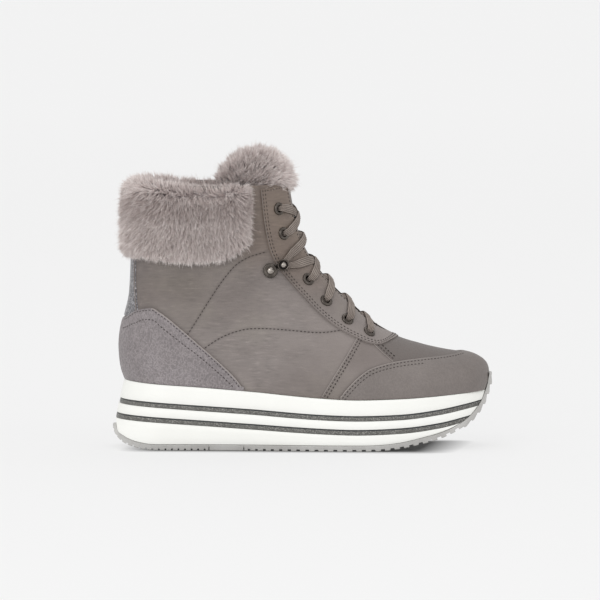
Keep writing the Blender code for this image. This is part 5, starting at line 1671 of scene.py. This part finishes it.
# ================================================================ fur cuff
# Faux fur, turned down over the collar: a flap outside, a thick rolled rim and a lining inside. Under it
# lies a knitted backing; the pile is 6 to 10 mm long, combed down and clotted into pointed locks, lighter
# at its tips and darker towards its roots, partly its own colour and partly painted shade deep in the pile.
# Painted light and shade also shift the pile's tone from place to place.
CUFF = table(
    "x low top thick",
    (0, 131.5, 191.5, 10.0), (30, 131.0, 192.0, 10.5), (55, 130.0, 192.0, 10.5), (74, 130.5, 191.5, 10.0),
    (87, 133.5, 190.5, 9.0), (95, 140.0, 189.3, 7.5), (100, 149.0, 188.2, 6.0), (103, 160.0, 187.4, 4.0),
)
CUFF_FRONT_X = 103.0
LINING_LOW = 152.0  # the fur lining inside the shaft ends here
CLEAR = 0.4  # between the backing and the leather
FRONT_TRIM = 8.0  # the backing stops this far behind the fur's front edge
BACKING = 0.45  # share of the fur's depth that is backing and flattened roots
STRAND = {"long": 8.5, "wide": 0.62, "per_lock": 6, "spread": 0.75}

rng = np.random.default_rng(7)

fur = new_material("taupe faux fur", "#b5a8a5", 0.9, Sheen_Weight=0.25, Sheen_Roughness=0.6)
# Darker towards the roots: partly the pile's colour, partly painted shade deep in the pile.
hair_tones = [(0.0, "#756b69"), (0.45, "#eee3e0"), (1.0, "#fffaf7")]
from_root = add_node(fur, "Attribute", attribute_name="tip").outputs["Fac"]
along_hair = add_node(fur, "ValToRGB", {"Fac": from_root}, stops=hair_tones)
lock_tone = add_node(fur, "Attribute", attribute_name="tone").outputs["Fac"]
shades = add_node(fur, "ValToRGB", {"Fac": lock_tone}, stops=[(0.0, "#beb5b3"), (1.0, "#ffffff")])
mixed = {0: 1.0, 6: along_hair, 7: shades}
feed(fur, Base_Color=add_node(fur, "Mix", mixed, data_type="RGBA", blend_type="MULTIPLY"))

knit = new_material("knitted fur backing", "#958b89", 0.95)
stitches = {"Scale": 500.0, "Detail": 5.0}
mottled(knit, [(0.3, "#7b716f"), (0.7, "#aba09e")], stitches, strength=0.8, height=0.001)


def shaft_points(side, x_at_collar, z, offset):
    """Points of the shaft's wall below or above places on the collar, moved outwards by offset."""
    x_at_collar, z, offset = np.broadcast_arrays(x_at_collar, z, offset)
    lean = back_at(z) - COLLAR_BACK_X
    far = np.clip((x_at_collar - COLLAR_BACK_X) / (CUFF_FRONT_X - COLLAR_BACK_X), 0, 1)
    x = x_at_collar + lean * (1 - far)
    normal = unit(form_normal(side, np.maximum(x, back_at(z) + 0.6), z, h=0.3) * (1, 1, 0))
    points = form_point(side, x, z) + offset[..., None] * normal
    back = far < 1e-6
    points[back, 0], points[back, 1] = x[back] - offset[back], swing(x[back])
    return points


def cuff_section(x):
    """(offset, z) of the cuff's fur from the flap's foot over the rim to the lining's foot, for places x."""
    low, top, thick = (follow(CUFF, column, x) for column in ("low", "top", "thick"))
    outside, inside, lining = CLEAR, -(WALL + CLEAR), 0.55 * thick
    rows = [
        (outside, low + 3.0), (outside + 0.45 * thick, low), (outside + 0.92 * thick, low + 5.0),
        (outside + thick, low + 0.5 * (176.0 - low)),
        (outside + 0.95 * thick, 177.0), (outside + 0.6 * thick, 0.3 * 177.0 + 0.7 * top),
        (-WALL / 2, top), (inside - 0.6 * lining, 0.25 * 178.0 + 0.75 * top), (inside - lining, 178.0),
        (inside - 0.7 * lining, LINING_LOW + 3.0), (inside - 0.2 * lining, LINING_LOW),
    ]
    return np.stack([np.stack(np.broadcast_arrays(out, z, low)[:2], axis=-1) for out, z in rows], axis=-2)


BACKING_CREST = table("x share", (0, 0.7), (24, 0.78), (57, 0.62), (76, 0.58), (89, 0.7), (97, 0.6))
BACKING_FOOT = table(
    "x z",
    (0, 139.5), (30, 138.0), (55, 135.5), (74, 136.0), (81, 137.5), (89.5, 142.5), (94, 149.0),
    (97, 158.0),
)


def backing_section(x):
    """The cuff's section drawn in to the backing: nearer the wall, and shorter at its feet and rim."""
    section = cuff_section(x)
    outside = section[..., 0] > -WALL / 2
    wall = np.where(outside, CLEAR, -(WALL + CLEAR))
    near_back = 1 - 0.4 * (1 - ease((x - 12) / 22))[:, None]
    section[..., 0] = wall + (section[..., 0] - wall) * BACKING * near_back
    section[..., 6, 0] = -WALL / 2
    low, foot = section[..., 1:2, 1].copy(), follow(BACKING_FOOT, "z", x)[:, None]
    z, middle = section[..., 1], 168.0
    flap = middle + (z - middle) * (middle - foot) / (middle - low)
    crest = follow(BACKING_CREST, "share", x)[:, None]
    section[..., 1] = np.where(z > middle, middle + (z - middle) * crest, np.where(outside, flap, z + 4.0))
    return section


def dense(rows, steps):
    """Rows of section points as smooth lines of steps points each."""
    lines = [smooth_line({"x": row[:, 0], "z": row[:, 1]}, 6) for row in rows]
    return np.array([along(line, np.linspace(0, 1, steps)) for line in lines])


CUFF_STEPS = 44
collar_x = COLLAR_BACK_X + (CUFF_FRONT_X - FRONT_TRIM - COLLAR_BACK_X) * round_collar(np.linspace(0, 1, 44))
cuff_path = [("medial", x) for x in collar_x[::-1]] + [("lateral", x) for x in collar_x[1:]]
cuff_x = np.array([x for _, x in cuff_path])
is_lateral = np.array([side == "lateral" for side, _ in cuff_path])
section = dense(backing_section(cuff_x), CUFF_STEPS)
grid = np.empty((*section.shape[:2], 3))
for side, rows in (("lateral", is_lateral), ("medial", ~is_lateral)):
    grid[rows] = shaft_points(side, cuff_x[rows, None], section[rows, :, 1], section[rows, :, 0])
cuff_backing = new_piece("cuff_backing", grid.reshape(-1, 3), grid_faces(*grid.shape[:2]), knit, smooth=60.0)
pick_only(cuff_backing)
thicken = cuff_backing.modifiers.new("sheet", "SOLIDIFY")
thicken.thickness = 0.0006
thicken.offset = 0.0
bpy.ops.object.modifier_apply(modifier=thicken.name)
settle(cuff_backing, "fur", "fur_cuff")


def read_grid(values, i, j):
    """Values of a grid at fractional places (i, j), between its points."""
    i0, j0 = np.floor(i).astype(int), np.floor(j).astype(int)
    i0, j0 = np.clip(i0, 0, values.shape[0] - 2), np.clip(j0, 0, values.shape[1] - 2)
    a, b = (i - i0)[:, None], (j - j0)[:, None]
    return (
        values[i0, j0] * (1 - a) * (1 - b)
        + values[i0 + 1, j0] * a * (1 - b)
        + values[i0, j0 + 1] * (1 - a) * b
        + values[i0 + 1, j0 + 1] * a * b
    )


def sow(points, amount):
    """Fractional grid places spread evenly over a grid's area."""
    ahead, across = points[1:, :-1] - points[:-1, :-1], points[:-1, 1:] - points[:-1, :-1]
    a = np.linalg.norm(np.cross(ahead, across), axis=-1)
    cell = rng.choice(a.size, amount, p=(a / a.sum()).ravel())
    return cell // a.shape[1] + rng.random(amount), cell % a.shape[1] + rng.random(amount)


def spikes(name, roots, tips, widths, tones):
    """Hairs as straight three-sided spikes, in one mesh."""
    amount = len(roots)
    ahead = unit(tips - roots)
    side = unit(np.cross(ahead, rng.normal(size=(amount, 3))))
    other_side = np.cross(ahead, side)
    turns = np.arange(3) * 2 * math.pi / 3
    ring = side[:, None] * np.cos(turns)[None, :, None] + other_side[:, None] * np.sin(turns)[None, :, None]
    points = np.empty((amount, 4, 3))
    points[:, :3] = roots[:, None] + ring * widths[:, None, None] / 2
    points[:, 3] = tips
    first = 4 * np.arange(amount)[:, None, None]
    faces = (first + np.array([(0, 1, 3), (1, 2, 3), (2, 0, 3), (2, 1, 0)])).reshape(-1, 3).tolist()
    piece = new_piece(name, points.reshape(-1, 3), faces, fur, smooth=80.0)
    paint(piece, "tip", np.tile([0, 0, 0, 1.0], amount))
    paint(piece, "tone", np.repeat(tones, 4))
    settle(piece, "fur")


def painted_fur_light(spot):
    """Painted light and shade as a tone shift: paler at the cuff's foot, rear and rim, and in front; a
    painted shadow under the rim.
    """
    x, z = spot[:, 0], spot[:, 2]
    foot = 0.3 * (1 - ease((z - 132) / 18))
    rear = 0.12 * (1 - ease((x - 8) / 16))
    rim = 0.2 * ease((z - 181) / 3) * (1 - ease((x - 58) / 12))
    rim_shadow = 0.24 * ease((z - 162) / 8) * (1 - ease((z - 178) / 4))
    tongue_front = 0.3 * ease((x - 106) / 14) * ease((z - 182) / 4)
    return foot + rear + (rim - rim_shadow) + tongue_front


def locks(name, points, comb, amount, rise, length):
    """Fur over a grid: locks of hairs whose tips are drawn together; comb(spot) gives their lie."""
    per = STRAND["per_lock"]
    count = amount // per
    i, j = sow(points, count)
    spot, out = read_grid(points, i, j), read_grid(grid_normals(points), i, j)
    lie = comb(spot) + rng.normal(scale=0.26, size=out.shape)
    ahead = unit(out * rise * (0.55 + 0.75 * rng.random((count, 1))) + lie)
    long = STRAND["long"] * (0.75 + 0.4 * rng.random(count))
    long = long * (length(spot) if callable(length) else length)
    lock = np.repeat(np.arange(count), per)
    spread = rng.normal(scale=STRAND["spread"], size=(len(lock), 3))
    spread -= out[lock] * (spread * out[lock]).sum(1, keepdims=True)
    roots = spot[lock] + spread - out[lock] * 0.3
    stray = 0.4 + 1.0 * (rng.random((len(lock), 1)) < 0.2)
    tips = spot[lock] + (ahead * long[:, None])[lock] * (0.8 + 0.3 * rng.random((len(lock), 1)))
    tips += rng.normal(size=tips.shape) * stray + spread * 0.25
    tones = rng.random(count)[lock] * 0.6 + rng.random(len(lock)) * 0.4
    # Painted light and shade, added to each lock's random tone.
    tones = np.clip(tones + painted_fur_light(spot)[lock], 0, 1)
    widths = STRAND["wide"] * (0.75 + 0.5 * rng.random(len(lock)))
    spikes(name, roots, tips, widths, tones)


def cuff_comb(spot):
    """Down the flap, fanned forwards at its front edge and slanted back at the upper rear."""
    x, z = spot[:, 0], spot[:, 2]
    front = ease((x - 84) / 16) * ease((z - 136) / 18)
    rear = ease((48 - x) / 40) * ease((z - 150) / 20)
    lie = np.column_stack([0.05 + 1.1 * front - 0.45 * rear, 0 * x, -1.0 + 0.75 * front])
    parting = 1 - 0.6 * ease((z - 178) / 6)
    return unit(lie) * parting[:, None]


def cuff_length(spot):
    """Share of the full pile: shorter at the flap's foot."""
    return 0.72 + 0.28 * ease((spot[:, 2] - 138) / 10)


flap_end = int(np.argmax(section[len(cuff_x) // 3, :, 1] > 184.0)) + 1
flap = grid[:, 1:flap_end]
rim_and_lining = grid[:, flap_end - 2 :]
half_way = len(collar_x) - 1
locks("cuff_fur_lateral", flap[half_way - 2 :], cuff_comb, 40000, 0.8, cuff_length)
locks("cuff_fur_medial", flap[: half_way + 3], cuff_comb, 22000, 0.8, cuff_length)


def rim_comb(spot):
    """Up and over the rim, then down inside."""
    z = spot[:, 2]
    up = ease((z - 176) / 6)[:, None]
    parting = 0.45 + 0.55 * ease(np.abs(z - 183) / 5)[:, None]
    return unit(np.array([[-0.45, 0, 0.7]]) * up - np.array([[0, 0, 1.0]]) * (1 - up)) * parting


locks("cuff_fur_rim", rim_and_lining, rim_comb, 24000, 0.9, 0.75)


def fan_comb(spot):
    """Forwards off the cuff's front edge."""
    x, z = spot[:, 0], spot[:, 2]
    return unit(np.column_stack([0.8 + 0 * x, 0 * x, -0.45 + 0.8 * ease((z - 155) / 30)]))


for side, edge in (("lateral", grid[-3:, 1:30]), ("medial", grid[0:3, 1:30])):
    locks(f"cuff_fur_front_{side}", edge, fan_comb, 4000, 0.5, 0.85)

# ================================================================ tongue fur
# The same fur sewn to the tongue's top as a roll that stands up round the shin and hangs a little in front.
ROLL = table(
    "turn foot crest thick lean",
    (0, 183.0, 188.0, 5.0, 0.0), (0.1, 183.0, 196.0, 7.0, 0.3), (0.2, 183.0, 200.5, 8.0, 0.5),
    (0.45, 183.5, 206.0, 9.0, 1.5), (0.7, 184.5, 205.0, 9.0, 3.5), (0.85, 185.5, 203.0, 8.5, 4.5),
    (1, 186.0, 201.0, 8.0, 5.5),
)
ROLL_WRAP = math.radians(118)
ROLL_RADII = (28.5, 24.0)
ROLL_CENTRE_X = 91.0

roll = []
for turn_share in np.linspace(-1, 1, 61):
    turn, angle = 1 - abs(turn_share), turn_share * ROLL_WRAP
    foot, crest, thick, lean = (follow(ROLL, name, turn) for name in list(ROLL)[1:])
    out = np.array([math.cos(angle), math.sin(angle)])
    centre = np.array([ROLL_CENTRE_X, swing(110.0)]) + out * ROLL_RADII
    ring = []
    for a in np.linspace(-math.pi / 2, 1.5 * math.pi, 28, endpoint=False):
        rise = math.copysign(abs(math.sin(a)) ** 0.75, math.sin(a))
        height = foot + (crest - foot) * (0.5 + rise / 2)
        reach = thick / 2 * math.copysign(abs(math.cos(a)) ** 0.75, math.cos(a)) - lean * rise
        spot = centre + out * reach
        ring.append((spot[0], spot[1], height))
    roll.append(ring)
roll = np.array(roll)
settle(skin("tongue_fur_backing", roll, knit, smooth=60.0), "fur", "tongue_fur")


def roll_comb(spot):
    """Away from a point low inside the roll, with its front foot hanging down."""
    x, z = spot[:, 0], spot[:, 2]
    heart = np.array([90.0, float(swing(110.0)), 162.0])
    hang = ease((x - 114) / 8) * (1 - ease((z - 188) / 12))
    return unit(unit((spot - heart) * (1, 0.5, 1)) + np.column_stack([0.1 * hang, 0 * x, -1.5 * hang]))


def tuft_length(spot):
    """Share of the full pile on the tongue: uneven tufts, shorter at the rear."""
    x, y, z = spot.T
    tufts = np.sin(x * 0.55 + 1.0) * np.sin(z * 0.6 + y * 0.25) * 0.16
    return 0.6 + 0.3 * ease((x - 78) / 14) + tufts


closed = np.concatenate([roll, roll[:, :1]], axis=1)
locks("tongue_fur_locks", closed, roll_comb, 26000, 0.8, tuft_length)

# ================================================================ sizes and table
boxes = {"cad": cad_box, "visual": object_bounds()}
boxes = {name: [[float(c) for c in corner] for corner in box] for name, box in boxes.items()}
